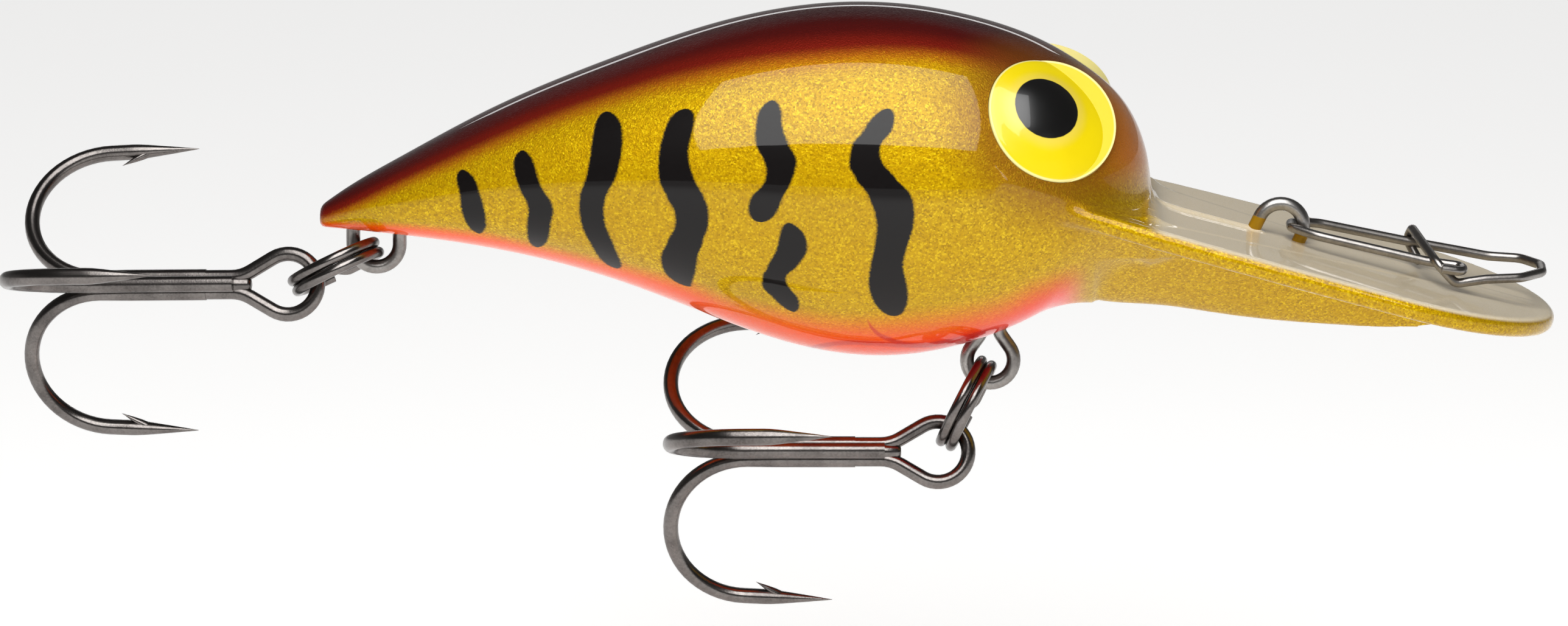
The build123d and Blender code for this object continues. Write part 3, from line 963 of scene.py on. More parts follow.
    def draw_gills(self, at: Flank, colour: Any) -> Any:
        """Spray the red throat and draw the two thin gill lines.

        Args:
            at: The pattern's coordinates.
            colour: The colour under them.

        Returns:
            The colour.
        """
        sheet = at.sheet
        off_throat = sheet.math("ABSOLUTE", sheet.math("SUBTRACT", at.along, self.throat_x))
        throat = sheet.math("MULTIPLY", sheet.mapped(off_throat, 3.4, 0.4, kind="SMOOTHSTEP"),
                            sheet.mapped(self.above_belly(at), 1.3, 0.2, kind="SMOOTHSTEP"))
        colour = sheet.mix(throat, colour, srgb(*self.throat))
        for line in (self.upper_gill, self.lower_gill):
            gap = sheet.math("ABSOLUTE", sheet.math("SUBTRACT", at.height, sheet.curve(at.along, line)))
            thin = sheet.mapped(gap, 0.22, 0.06, kind="SMOOTHSTEP")
            ends = sheet.math("MULTIPLY", sheet.mapped(at.along, line[0][0] - 0.1, line[0][0] + 0.15),
                              sheet.mapped(at.along, line[-1][0] + 0.4, line[-1][0] - 0.4))
            mark = sheet.math("MULTIPLY", sheet.math("MULTIPLY", thin, ends), 0.7)
            colour = sheet.mix(mark, colour, srgb(*self.gill))
        return colour

    def paint_lip_reflection(self, at: Flank, colour: Any) -> tuple[Any, Any]:
        """Paint the lip's top beige, as a painted reflection of pale surroundings on its glossy face.

        Args:
            at: The pattern's coordinates.
            colour: The colour under it.

        Returns:
            The colour, and where the lip's top lies, from 0 to 1.
        """
        sheet = at.sheet
        above = sheet.math("MULTIPLY_ADD", at.along, math.tan(self.lip_slope),
                           sheet.math("ADD", at.up, self.lip_drop))
        mask = sheet.math("MULTIPLY", sheet.mapped(above, -0.24, -0.05, kind="SMOOTHSTEP"),
                          sheet.mapped(at.along, -8.6, -7.2, kind="SMOOTHSTEP"))
        # Painted reflection: beige stands in for the pale surroundings mirrored in the lip's glossy top.
        reflection_beige = sheet.mix(sheet.math("MULTIPLY", at.fleck, 0.35), *(srgb(*c) for c in self.reflection_beiges))
        return sheet.mix(sheet.math("MULTIPLY", mask, 0.85), colour, reflection_beige), mask

    def bars(self, at: Flank) -> Any:
        """Find the wavy sprayed bars.

        Args:
            at: The pattern's coordinates.

        Returns:
            Where the bars lie, from 0 to 1.
        """
        sheet, mask = at.sheet, 0.0
        for stripe in STRIPES:
            middle = sheet.curve(at.height, stripe.middle)
            away = sheet.math("ABSOLUTE", sheet.math("SUBTRACT", at.along, middle))
            inside = sheet.math("SUBTRACT", sheet.curve(at.height, stripe.half), away)
            inside = sheet.math("ADD", inside, sheet.math("MULTIPLY", at.spray, 0.35))
            mask = sheet.math("MAXIMUM", mask, sheet.mapped(inside, -0.06, 0.16, kind="SMOOTHSTEP"))
        return mask

    def build(self) -> bpy.types.Material:
        """Make the material.

        Returns:
            The material.
        """
        material, sheet, shader = self.start()
        grain = sheet.group("fine_grain", Scale=9500.0, Strength=1.0)
        at = self.lay_out(sheet, grain.outputs["Fleck"])
        colour, belly = self.spray_belly(at, self.gold(at))
        colour = self.spray_face(at, self.spray_back(at, colour))
        # The lip's top takes a painted reflection in beige.
        colour, lip_top = self.paint_lip_reflection(at, self.draw_gills(at, colour))
        bars = self.bars(at)
        sheet.feed(shader.inputs["Base Color"], sheet.mix(bars, colour, srgb(*self.black)))

        bare = sheet.math("SUBTRACT", 1.0, sheet.math("MULTIPLY", bars, 0.95))
        solid = sheet.mapped(sheet.math("MAXIMUM", belly, lip_top), 0.0, 1.0, 0.4, 0.05)
        sheet.feed(shader.inputs["Metallic"], sheet.math("MULTIPLY", bare, solid))
        sheet.feed(shader.inputs["Roughness"], sheet.mapped(at.fleck, 0.0, 1.0, 0.5, 0.34))
        shader.inputs["Specular IOR Level"].default_value = 0.05
        self.lacquer(shader)
        self.bump(sheet, shader, sheet.math("MULTIPLY", grain.outputs["Height"], bare), 0.00005)
        return material


@dataclass(frozen=True)
class StageFinish(Finish):
    """Pale matt paper, lit a little from below like a light table."""

    glow: float = 0.56
    greys: tuple[Colour, Colour] = ((232, 232, 231), (240, 240, 239))

    def build(self) -> bpy.types.Material:
        """Make the material.

        Returns:
            The material.
        """
        material, sheet, shader = self.start()
        colour = sheet.mix(sheet.noise(8.0), *(srgb(*c) for c in self.greys))
        sheet.feed(shader.inputs["Base Color"], colour)
        shader.inputs["Roughness"].default_value = 0.9
        shader.inputs["Emission Color"].default_value = (1.0, 0.995, 0.99, 1.0)
        shader.inputs["Emission Strength"].default_value = self.glow
        return material


# ---------------------------------------------------------------- outlines
class SmoothLine:
    """A smooth curve through a few points, read back as a height over a length."""

    FINE = 1600

    def __init__(self, points: Points) -> None:
        """Fit a natural cubic curve, paced by the distance between its points.

        Args:
            points: Pairs of a length and a height, in order.
        """
        p = np.array(points, dtype=float)
        t = np.concatenate(([0.0], np.cumsum(np.linalg.norm(np.diff(p, axis=0), axis=1))))
        h = np.diff(t)
        n = len(t)
        system = np.eye(n)
        right = np.zeros((n, 2))
        for i in range(1, n - 1):
            system[i, i - 1:i + 2] = h[i - 1], 2 * (h[i - 1] + h[i]), h[i]
            right[i] = 6 * ((p[i + 1] - p[i]) / h[i] - (p[i] - p[i - 1]) / h[i - 1])
        bend = np.linalg.solve(system, right)
        s = np.linspace(0, t[-1], self.FINE)
        i = np.clip(np.searchsorted(t, s, side="right") - 1, 0, n - 2)
        a = ((t[i + 1] - s) / h[i])[:, None]
        b = 1 - a
        span = (h[i] ** 2)[:, None] / 6
        line = a * p[i] + b * p[i + 1] + ((a ** 3 - a) * bend[i] + (b ** 3 - b) * bend[i + 1]) * span
        self.x, self.height = line[:, 0], line[:, 1]

    def at(self, x: Any) -> Any:
        """Height at a length, or at an array of lengths."""
        return np.interp(x, self.x, self.height)


def write_points(mesh: bpy.types.Mesh, p: np.ndarray) -> None:
    """Move a mesh's points."""
    mesh.vertices.foreach_set("co", p.ravel())
    mesh.update()


def read_points(mesh: bpy.types.Mesh) -> np.ndarray:
    """Read a mesh's points.

    Args:
        mesh: The mesh.

    Returns:
        Its points, one a row.
    """
    p = np.empty(len(mesh.vertices) * 3)
    mesh.vertices.foreach_get("co", p)
    return p.reshape(-1, 3)


def smooth_min(a: np.ndarray, b: np.ndarray, width: float) -> np.ndarray:
    """Lower of two distances, with a soft fillet of a given width where they meet."""
    share = np.maximum(width - np.abs(a - b), 0) / width
    return np.minimum(a, b) - share * share * width / 4


# ---------------------------------------------------------------- body
@dataclass
class LureBody:
    """The painted body: two half-shells with the diving lip and its keel, met on the seam plane."""

    length: float = 50.8
    depth: float = 21.77
    width: float = 18.6
    nose_x: float = -8.0
    belly_z: float = -7.92
    wall: float = 1.25
    lip_drop: float = 0.68
    lip_slope: float = math.radians(15)
    lip_thickness: float = 1.2
    lip_edge: float = 0.52
    lip_width: float = 20.2
    lip_root: float = -16.56
    lip_root_width: float = 14.4
    lip_reach: float = 17.5
    tip_length: float = 9.5
    keel_depth: float = 6.95
    keel_width: float = 12.6
    keel_round: float = 0.12
    keel_sunk: float = 0.35
    tail_round: float = 0.35
    nose_round: float = 0.3
    throat: tuple[float, float, float] = (-11.5, -1.2, 0.6)
    rib: tuple[float, float] = (-8.2, -1.6)
    rib_radius: float = 0.3
    rib_sunk: float = 0.12
    fillets: tuple[float, float, float] = (2.2, 0.55, 0.5)
    hollow: tuple[float, float] = (-54.0, -11.5)
    grid: float = 0.22
    fairing: int = 7
    back: Points = (
        (0, 0.42), (0.03, 0.469), (0.094, 0.556), (0.204, 0.694), (0.351, 0.839), (0.496, 0.952),
        (0.62, 0.998), (0.71, 0.992), (0.79, 0.957), (0.863, 0.898), (0.922, 0.818), (0.965, 0.728),
        (0.986, 0.645), (1, 0.535))
    belly: Points = (
        (0, 0.363), (0.131, 0.333), (0.241, 0.29), (0.351, 0.221), (0.461, 0.124), (0.571, 0.033),
        (0.66, 0), (0.72, 0.006), (0.79, 0.044), (0.863, 0.116), (0.92, 0.21), (0.965, 0.33), (1, 0.45))
    beam: Points = (
        (0, 0.09), (0.03, 0.185), (0.094, 0.355), (0.204, 0.572), (0.314, 0.748), (0.424, 0.878),
        (0.533, 0.962), (0.65, 1), (0.753, 0.984), (0.825, 0.93), (0.88, 0.85), (0.92, 0.75),
        (0.95, 0.625), (0.975, 0.45), (0.99, 0.27), (1, 0.08))
    keel: Points = (
        (-16.0, 0.88, 0.98), (-12.0, 1.0, 0.95), (-7.6, 0.90, 0.80), (-3.8, 0.83, 0.66), (0.0, 0.75, 0.52),
        (3.6, 0.65, 0.40), (7.3, 0.53, 0.27), (10.0, 0.40, 0.17), (12.5, 0.24, 0.08), (15.0, 0.05, 0.05))
    lines: dict[str, SmoothLine] = field(default_factory=dict)

    def __post_init__(self) -> None:
        """Fit the body's outlines."""
        self.tail_x = self.nose_x - self.length

        def sized(points: Points, height: float, base: float) -> SmoothLine:
            """Bring an outline given in shares to its size."""
            return SmoothLine([(self.tail_x + x * self.length, base + y * height) for x, y in points])
        self.lines = {
            "back": sized(self.back, self.depth, self.belly_z),
            "belly": sized(self.belly, self.depth, self.belly_z),
            "beam": sized(self.beam, self.width / 2, 0.0),
            "keel_depth": SmoothLine([(x, deep * self.keel_depth) for x, deep, _ in self.keel]),
            "keel_width": SmoothLine([(x, wide * self.keel_width / 2) for x, _, wide in self.keel]),
        }

    def lip_top(self, x: Any) -> Any:
        """Height of the lip's top face."""
        return -self.lip_drop - x * math.tan(self.lip_slope)

    def lip_half(self, u: Any) -> Any:
        """Half-width of the lip's sides.

        Args:
            u: Distances along the lip from under the line tie.

        Returns:
            The half-widths there.
        """
        start = self.lip_reach - self.tip_length
        span = start - self.lip_root
        s = np.clip((u - self.lip_root) / span, 0, 1)
        root, full = self.lip_root_width / 2, self.lip_width / 2
        return (root * (2 * s ** 3 - 3 * s ** 2 + 1) + 0.32 * span * (s ** 3 - 2 * s ** 2 + s)
                + full * (3 * s ** 2 - 2 * s ** 3))

    def section(self, x: Any, inset: float) -> tuple[Any, Any, Any]:
        """Middle height, half-width and half-height of the body at a place along it."""
        top, bottom = self.lines["back"].at(x) - inset, self.lines["belly"].at(x) + inset
        return (top + bottom) / 2, self.lines["beam"].at(x) - inset, (top - bottom) / 2

    def draw_hull(self, name: str, inset: float, first: float, last: float) -> bpy.types.Object:
        """Draw the body's egg out of a circle, section by section.

        Args:
            name: The piece's name.
            inset: How far it lies inside the body's surface.
            first: Where it starts, near the tail.
            last: Where it ends, near the nose.

        Returns:
            A closed piece, in millimetres.
        """
        steps = 44
        stations = [first + (last - first) * (1 - math.cos(math.pi * i / steps)) / 2
                    for i in range(steps + 1)]
        middle, half, high = self.section(stations[0], inset)
        hull = DrawnFace(name, Vector((stations[0], 0, middle)), Vector((1, 0, 0)), 1.0, 64)
        hull.resize(1, half, high)
        for x in stations[1:]:
            next_middle, next_half, next_high = self.section(x, inset)
            hull.draw(Vector((x, 0, next_middle)) - hull.at)
            hull.resize(1, next_half / half, next_high / high)
            half, high = next_half, next_high
        return hull.done()

    def draw_lip(self) -> bpy.types.Object:
        """Draw the lip plate forward out of a flat four-sided face.

        Returns:
            A closed piece, in millimetres.
        """
        slope = Vector((math.cos(self.lip_slope), 0, -math.sin(self.lip_slope)))
        normal = Vector((math.sin(self.lip_slope), 0, math.cos(self.lip_slope)))
        under_tie = Vector((0, 0, -self.lip_drop))

        def centre(u: float) -> Vector:
            """Middle of the plate at a distance along it."""
            return under_tie + slope * u - normal * self.lip_thickness / 2
        steps, corner = 39, math.sqrt(0.5)
        first, last = self.lip_root + 0.5, self.lip_reach - 0.12
        plate = DrawnFace("lip_plate", centre(first), Vector((1, 0, 0)), 1.0, 4)
        bpy.ops.transform.rotate(value=math.pi / 4, orient_axis="X", center_override=plate.at)
        half = float(self.lip_half(first))
        plate.resize(1, half / corner, self.lip_thickness / 2 / corner)
        start = self.lip_reach - self.tip_length
        for i in range(1, steps + 1):
            u = first + (last - first) * i / steps
            share = max(0.0, (u - start) / self.tip_length)
            wide = float(self.lip_half(u)) * math.sqrt(max(0.0, 1 - share ** 2))
            plate.draw(centre(u) - plate.at)
            plate.resize(1, wide / half, 1)
            half = wide
        return plate.done()

    def draw_keel(self) -> bpy.types.Object:
        """Draw the keel forward out of a narrow egg under the lip.

        Returns:
            A closed piece, in millimetres.
        """
        def middle(x: float, deep: float) -> Vector:
            """Middle of the keel at a place along it."""
            return Vector((x, 0, float(self.lip_top(x)) - deep * self.keel_depth / 2))
        x, deep, wide = self.keel[0]
        keel = DrawnFace("keel", middle(x, deep), Vector((1, 0, 0)), 1.0, 32)
        keel.resize(1, wide * self.keel_width / 2 * 0.8, deep * self.keel_depth / 2)
        for x, next_deep, next_wide in self.keel[1:-1]:
            keel.draw(middle(x, next_deep) - keel.at)
            keel.resize(1, next_wide / wide, next_deep / deep)
            deep, wide = next_deep, next_wide
        return keel.done()

    def hull_distance(self, x: np.ndarray, y: np.ndarray, z: np.ndarray) -> np.ndarray:
        """Distance of points to the body's egg.

        Args:
            x: Places along the lure.
            y: Distances off the seam plane.
            z: Heights.

        Returns:
            Distances, negative inside.
        """
        nudge = 0.02
        at = np.clip(x, self.tail_x, self.nose_x)

        def share(where: np.ndarray) -> tuple[np.ndarray, np.ndarray, np.ndarray, np.ndarray]:
            """Share of the way from the egg's axis to its skin, with the section that gives it."""
            middle, half, high = self.section(np.clip(where, self.tail_x, self.nose_x), 0.0)
            return np.sqrt((y / half) ** 2 + ((z - middle) / high) ** 2), middle, half, high
        r, middle, half, high = share(at)
        r = r + 1e-9
        along = (share(at + nudge)[0] - share(at - nudge)[0]) / (2 * nudge)
        steep = np.sqrt((y / half ** 2 / r) ** 2 + ((z - middle) / high ** 2 / r) ** 2 + along ** 2) + 1e-6
        hull = -smooth_min((1 - r) / steep, x - self.tail_x, self.tail_round)
        hull = -smooth_min(-hull, self.nose_x - x, self.nose_round)
        ahead, below, slope = self.throat
        return hull + slope * np.maximum(x - ahead, 0) * np.maximum(below - z, 0)

    def plate_distance(self, u: np.ndarray, y: np.ndarray, w: np.ndarray) -> np.ndarray:
        """Distance of points to the lip's plate.

        Args:
            u: Distances along the lip from under the line tie.
            y: Distances off the seam plane.
            w: Distances above the lip's top face.

        Returns:
            Distances, negative inside.
        """
        start = self.lip_reach - self.tip_length
        ahead = np.maximum(u - start, 0)
        full = self.lip_width / 2
        oval = np.sqrt((ahead / self.tip_length) ** 2 + (y / full) ** 2) + 1e-9
        tip = (oval - 1) * oval / (np.sqrt(ahead ** 2 / self.tip_length ** 4 + y ** 2 / full ** 4) + 1e-9)
        sides = np.where(u > start, tip, y - self.lip_half(u))
        edge = np.maximum(sides, self.lip_root - u) + self.lip_edge
        face = np.abs(w + self.lip_thickness / 2) - self.lip_thickness / 2 + self.lip_edge
        return (np.minimum(np.maximum(edge, face), 0)
                + np.hypot(np.maximum(edge, 0), np.maximum(face, 0)) - self.lip_edge)

    def keel_distance(self, x: np.ndarray, y: np.ndarray, z: np.ndarray) -> np.ndarray:
        """Distance of points to the keel under the lip.

        Args:
            x: Places along the lure.
            y: Distances off the seam plane.
            z: Heights.

        Returns:
            Distances, negative inside.
        """
        low, broad = self.lines["keel_depth"].at(x), self.lines["keel_width"].at(x)
        drop = self.lip_top(x) - z
        across = np.sqrt((y / broad) ** 2 + self.keel_round ** 2) - self.keel_round
        keel = (drop - low * (1 - 0.95 * across ** 1.12)) / np.sqrt(1 + (low / broad) ** 2 * 0.8)
        ends = np.maximum(self.keel[0][0] - x, x - self.keel[-1][0])
        return np.maximum(np.maximum(keel, self.keel_sunk - drop), ends)

    def distance(self, p: np.ndarray) -> np.ndarray:
        """Signed distance of points to the faired skin of body, keel and lip, near that skin.

        Args:
            p: Points in millimetres, one a row.

        Returns:
            Distances, negative inside.
        """
        x, y, z = p[:, 0], np.abs(p[:, 1]), p[:, 2]
        cos, sin = math.cos(self.lip_slope), math.sin(self.lip_slope)
        u = x * cos - (z + self.lip_drop) * sin
        w = x * sin + (z + self.lip_drop) * cos
        rib = np.sqrt((u - np.clip(u, *self.rib)) ** 2 + y ** 2 + (w + self.rib_sunk) ** 2) - self.rib_radius
        skin = self.hull_distance(x, y, z)
        parts = (self.keel_distance(x, y, z), self.plate_distance(u, y, w), rib)
        for part, fillet in zip(parts, self.fillets):
            skin = smooth_min(skin, part, fillet)
        return skin

    def fair(self, obj: bpy.types.Object) -> None:
        """Bring every point of a rough skin onto the faired one, step by step along its slope.

        Args:
            obj: The rough skin, in millimetres.
        """
        p = read_points(obj.data)
        probe, longest = 0.03, 0.3
        for _ in range(self.fairing):
            value = self.distance(p)
            slope = np.empty_like(p)
            for axis in range(3):
                step = np.zeros(3)
                step[axis] = probe
                slope[:, axis] = (self.distance(p + step) - self.distance(p - step)) / (2 * probe)
            size = (slope ** 2).sum(axis=1) + 1e-6
            move = slope * (value / size)[:, None]
            length = np.linalg.norm(move, axis=1)
            p -= move * np.minimum(1.0, longest / (length + 1e-9))[:, None]
        write_points(obj.data, p)

    def build(self, eyes: "Eyes") -> list[bpy.types.Object]:
        """Build both half-shells.

        Args:
            eyes: The eyes that sit in them.

        Returns:
            The left and the right half-shell, in metres.
        """
        rough = joined(self.draw_hull("hull", 0.0, self.tail_x, self.nose_x), self.draw_lip(),
                       self.draw_keel())
        for grid in (1.8 * self.grid, self.grid):
            apply_modifier(rough, "REMESH", mode="VOXEL", voxel_size=grid)
            self.fair(rough)
        cut(rough, self.draw_hull("hollow", self.wall, *self.hollow), Keep.OUTSIDE)
        for side in Side:
            cut(rough, eyes.bore(side), Keep.OUTSIDE)
        halves = []
        for side in Side:
            half = twin(rough, f"shell_{side.name.lower()}")
            bpy.ops.object.select_all(action="DESELECT")
            bpy.ops.mesh.primitive_cube_add(size=200, location=(0, side.value * 100, 0))
            block = bpy.context.object
            bpy.ops.object.transform_apply(location=True, rotation=True, scale=True)
            cut(half, block, Keep.INSIDE)
            smooth(half, 38)
            halves.append(settle(half))
        bpy.data.objects.remove(rough)
        return halves

    def fit_out(self, eyes: "Eyes") -> None:
        """Build the half-shells round the eyes' sockets and paint them."""
        paint = LurePaint("gold_flake_paint").build()
        for shell, side in zip(self.build(eyes), Side):
            dress(shell, paint, "lure_body", f"body_{side.name.lower()}")


# ---------------------------------------------------------------- eyes
@dataclass
class Eyes:
    """The two eye inserts: discs that follow the head's curve, each with a raised domed boss."""

    SIDES = 96

    diameter: float = 8.16
    centre: Spot = (-14.06, 6.27, 8.03)
    turn: float = math.radians(12)
    tilt: float = math.radians(34)
    socket_depth: float = 1.0
    fit: float = 0.03
    boss_back: float = 0.42
    boss_up: float = 0.38
    boss_edge: tuple[float, float] = (2.85, 3.6)
    profile: Points = (
        (4.08, -0.03), (4.07, 0.03), (4.03, 0.07), (3.95, 0.1), (3.7, 0.12), (3.35, 0.13), (3.05, 0.14),
        (2.8, 0.15), (2.66, 0.17), (2.5, 0.2), (2.3, 0.245), (2.05, 0.31), (1.75, 0.385), (1.4, 0.455),
        (1.0, 0.51), (0.6, 0.54), (0.3, 0.555), (0.1, 0.56))

    def outward(self, side: Side) -> Vector:
        """Direction that an eye faces."""
        return Vector((math.cos(self.tilt) * math.sin(self.turn),
                       side.value * math.cos(self.tilt) * math.cos(self.turn), math.sin(self.tilt)))

    def place(self, side: Side) -> Matrix:
        """Frame of an eye's socket.

        Args:
            side: The eye's side.

        Returns:
            The frame, with z outwards.
        """
        x, y, z = self.centre
        level = Vector((math.cos(self.turn), -side.value * math.sin(self.turn), 0))
        return axes(Vector((x, side.value * y, z)), level, self.outward(side))

    def pupil(self, side: Side) -> Vector:
        """Place of the pupil's centre."""
        return self.place(side) @ Vector((-self.boss_back, -side.value * self.boss_up, 0))

    def bore(self, side: Side) -> bpy.types.Object:
        """Shape what cuts an eye's socket.

        Args:
            side: The eye's side.

        Returns:
            A closed piece, in millimetres.
        """
        floor = Vector((0, 0, -self.socket_depth - self.fit))
        bore = DrawnFace("bore", floor, Vector((0, 0, 1)), self.diameter / 2 + self.fit, self.SIDES)
        bore.draw(Vector((0, 0, 8)))
        return settle(bore.done(), self.place(side), 1.0)

    def follow_head(self, eye: bpy.types.Object, body: LureBody, side: Side) -> None:
        """Lay the insert's face along the head's surface and set its boss a little back.

        Args:
            eye: The insert in its own frame, its face's heights given from the head's surface.
            body: The body that it sits in.
            side: The eye's side.
        """
        p = read_points(eye.data)
        face = p[:, 2] > -self.socket_depth / 2
        radius = np.hypot(p[:, 0], p[:, 1])
        inner, outer = self.boss_edge
        share = np.where(face, np.clip((outer - radius) / (outer - inner), 0, 1), 0)
        p[:, 0] -= self.boss_back * share
        p[:, 1] -= side.value * self.boss_up * share
        frame = np.array(self.place(side))
        flat = p[:, :1] * frame[:3, 0] + p[:, 1:2] * frame[:3, 1] + frame[:3, 3]
        low, high = np.full(len(p), -3.0), np.full(len(p), 3.0)
        for _ in range(20):
            middle = (low + high) / 2
            inside = body.distance(flat + middle[:, None] * frame[:3, 2]) < 0
            low, high = np.where(inside, middle, low), np.where(inside, high, middle)
        p[:, 2] += np.where(face, low, 0)
        write_points(eye.data, p)

    def build(self, body: LureBody) -> list[bpy.types.Object]:
        """Build the left and the right eye.

        Args:
            body: The body whose head they follow.

        Returns:
            The two eyes, in metres.
        """
        radius = self.diameter / 2
        insert = DrawnFace("eye", Vector((0, 0, -self.socket_depth)), Vector((0, 0, 1)), radius, self.SIDES)
        for wide, high in self.profile:
            insert.draw(Vector((0, 0, high)) - insert.at)
            insert.resize(wide / radius, wide / radius, 1)
            radius = wide
        first = insert.done()
        eyes = []
        for side in Side:
            eye = twin(first, f"eye_insert_{side.name.lower()}")
            self.follow_head(eye, body, side)
            settle(eye, self.place(side))
            smooth(eye, WIRE_SMOOTH)
            eyes.append(eye)
        bpy.data.objects.remove(first)
        return eyes

    def fit_out(self, body: LureBody) -> None:
        """Build the eyes for a body's head and enamel them.

        Args:
            body: The body whose head they follow.
        """
        for eye, side in zip(self.build(body), Side):
            node = f"eye_{side.name.lower()}"
            enamel = EyeFinish("enamel_" + node, tuple(self.place(side).translation),
                               tuple(self.pupil(side)), tuple(self.outward(side)))
            dress(eye, enamel.build(), "lure_body", node)


# ---------------------------------------------------------------- wire loops
@dataclass
class WireLoop:
    """A loop of wire whose two legs and bent feet are anchored in the seam."""

    name: str
    wire: float
    radius: float
    leg: float
    place: Matrix
    foot: float = 1.3
    neck: float | None = None
    flare: float = 0.0
    foot_bend: float = 0.77
    neck_bend: float = 1.0

    def build(self) -> bpy.types.Object:
        """Bend the loop, in its own frame with y up the loop, and put it in place.

        Returns:
            The loop, in metres.
        """
        neck = self.radius if self.neck is None else self.neck
        touch = (self.radius * math.cos(self.flare), -self.radius * math.sin(self.flare))
        bends = [self.foot_bend]
        legs = [(neck, -self.leg, 0)]
        if self.neck is not None:
            run = (touch[0] - neck) / math.sin(self.flare)
            legs.append((neck, touch[1] - run * math.cos(self.flare), 0))
            bends.append(self.neck_bend)
        wire = BentWire(self.name, (neck + self.foot, -self.leg, 0), legs[0], self.wire)
        wire.follow([*legs, (touch[0], touch[1], 0)], bends)
        wire.spin(Vector((0, 0, 0)), Vector((0, 0, 1)), math.pi + 2 * self.flare)
        back = [(-x, y, z) for x, y, z in reversed(legs)]
        wire.follow([*back, (-neck - self.foot, -self.leg, 0)], bends[::-1])
        wire.blunt()
        loop = wire.done()
        smooth(loop, WIRE_SMOOTH)
        return settle(loop, self.place)

    def fit_out(self, node: str, finish: bpy.types.Material) -> None:
        """Bend the loop and plate it, in place of a CAD node."""
        dress(self.build(), finish, "lure_body", node)


@dataclass
class SplitRing:
    """Two turns of wire laid side by side, with a short crossing between them."""

    name: str
    place: Matrix
    wire: float = 0.66
    radius: float = 2.76
    pitch: float = 0.665
    gap: float = math.radians(16)
    crossing: float = math.radians(34)
    opening: float = math.radians(90)
    turn_steps: int = 56
    crossing_steps: int = 10

    def build(self) -> bpy.types.Object:
        """Wind the ring in its own frame, with its axis along z, and put it in place.

        Returns:
            The ring, in metres.
        """
        turn = Matrix.Rotation(self.opening + self.gap / 2, 4, "Z")
        start = turn @ Vector((self.radius, 0, -self.pitch / 2))
        ahead = turn @ Vector((self.radius, 1, -self.pitch / 2))
        wire = BentWire(self.name, start, ahead, self.wire)
        axis = Vector((0, 0, 1))
        sweep = 2 * math.pi - self.gap / 2 - self.crossing / 2
        wire.spin(Vector((0, 0, start.z)), axis, sweep, self.turn_steps)
        steps = self.crossing_steps
        for i in range(steps):
            wire.spin(Vector((0, 0, 0)), axis, self.crossing / steps, 1)
            rise = self.pitch * (math.cos(math.pi * i / steps) - math.cos(math.pi * (i + 1) / steps)) / 2
            bpy.ops.transform.translate(value=(0, 0, rise))
            wire.at = wire.at + Vector((0, 0, rise))
        wire.spin(Vector((0, 0, 0)), axis, sweep, self.turn_steps)
        wire.blunt()
        ring = wire.done()
        smooth(ring, WIRE_SMOOTH)
        return settle(ring, self.place)


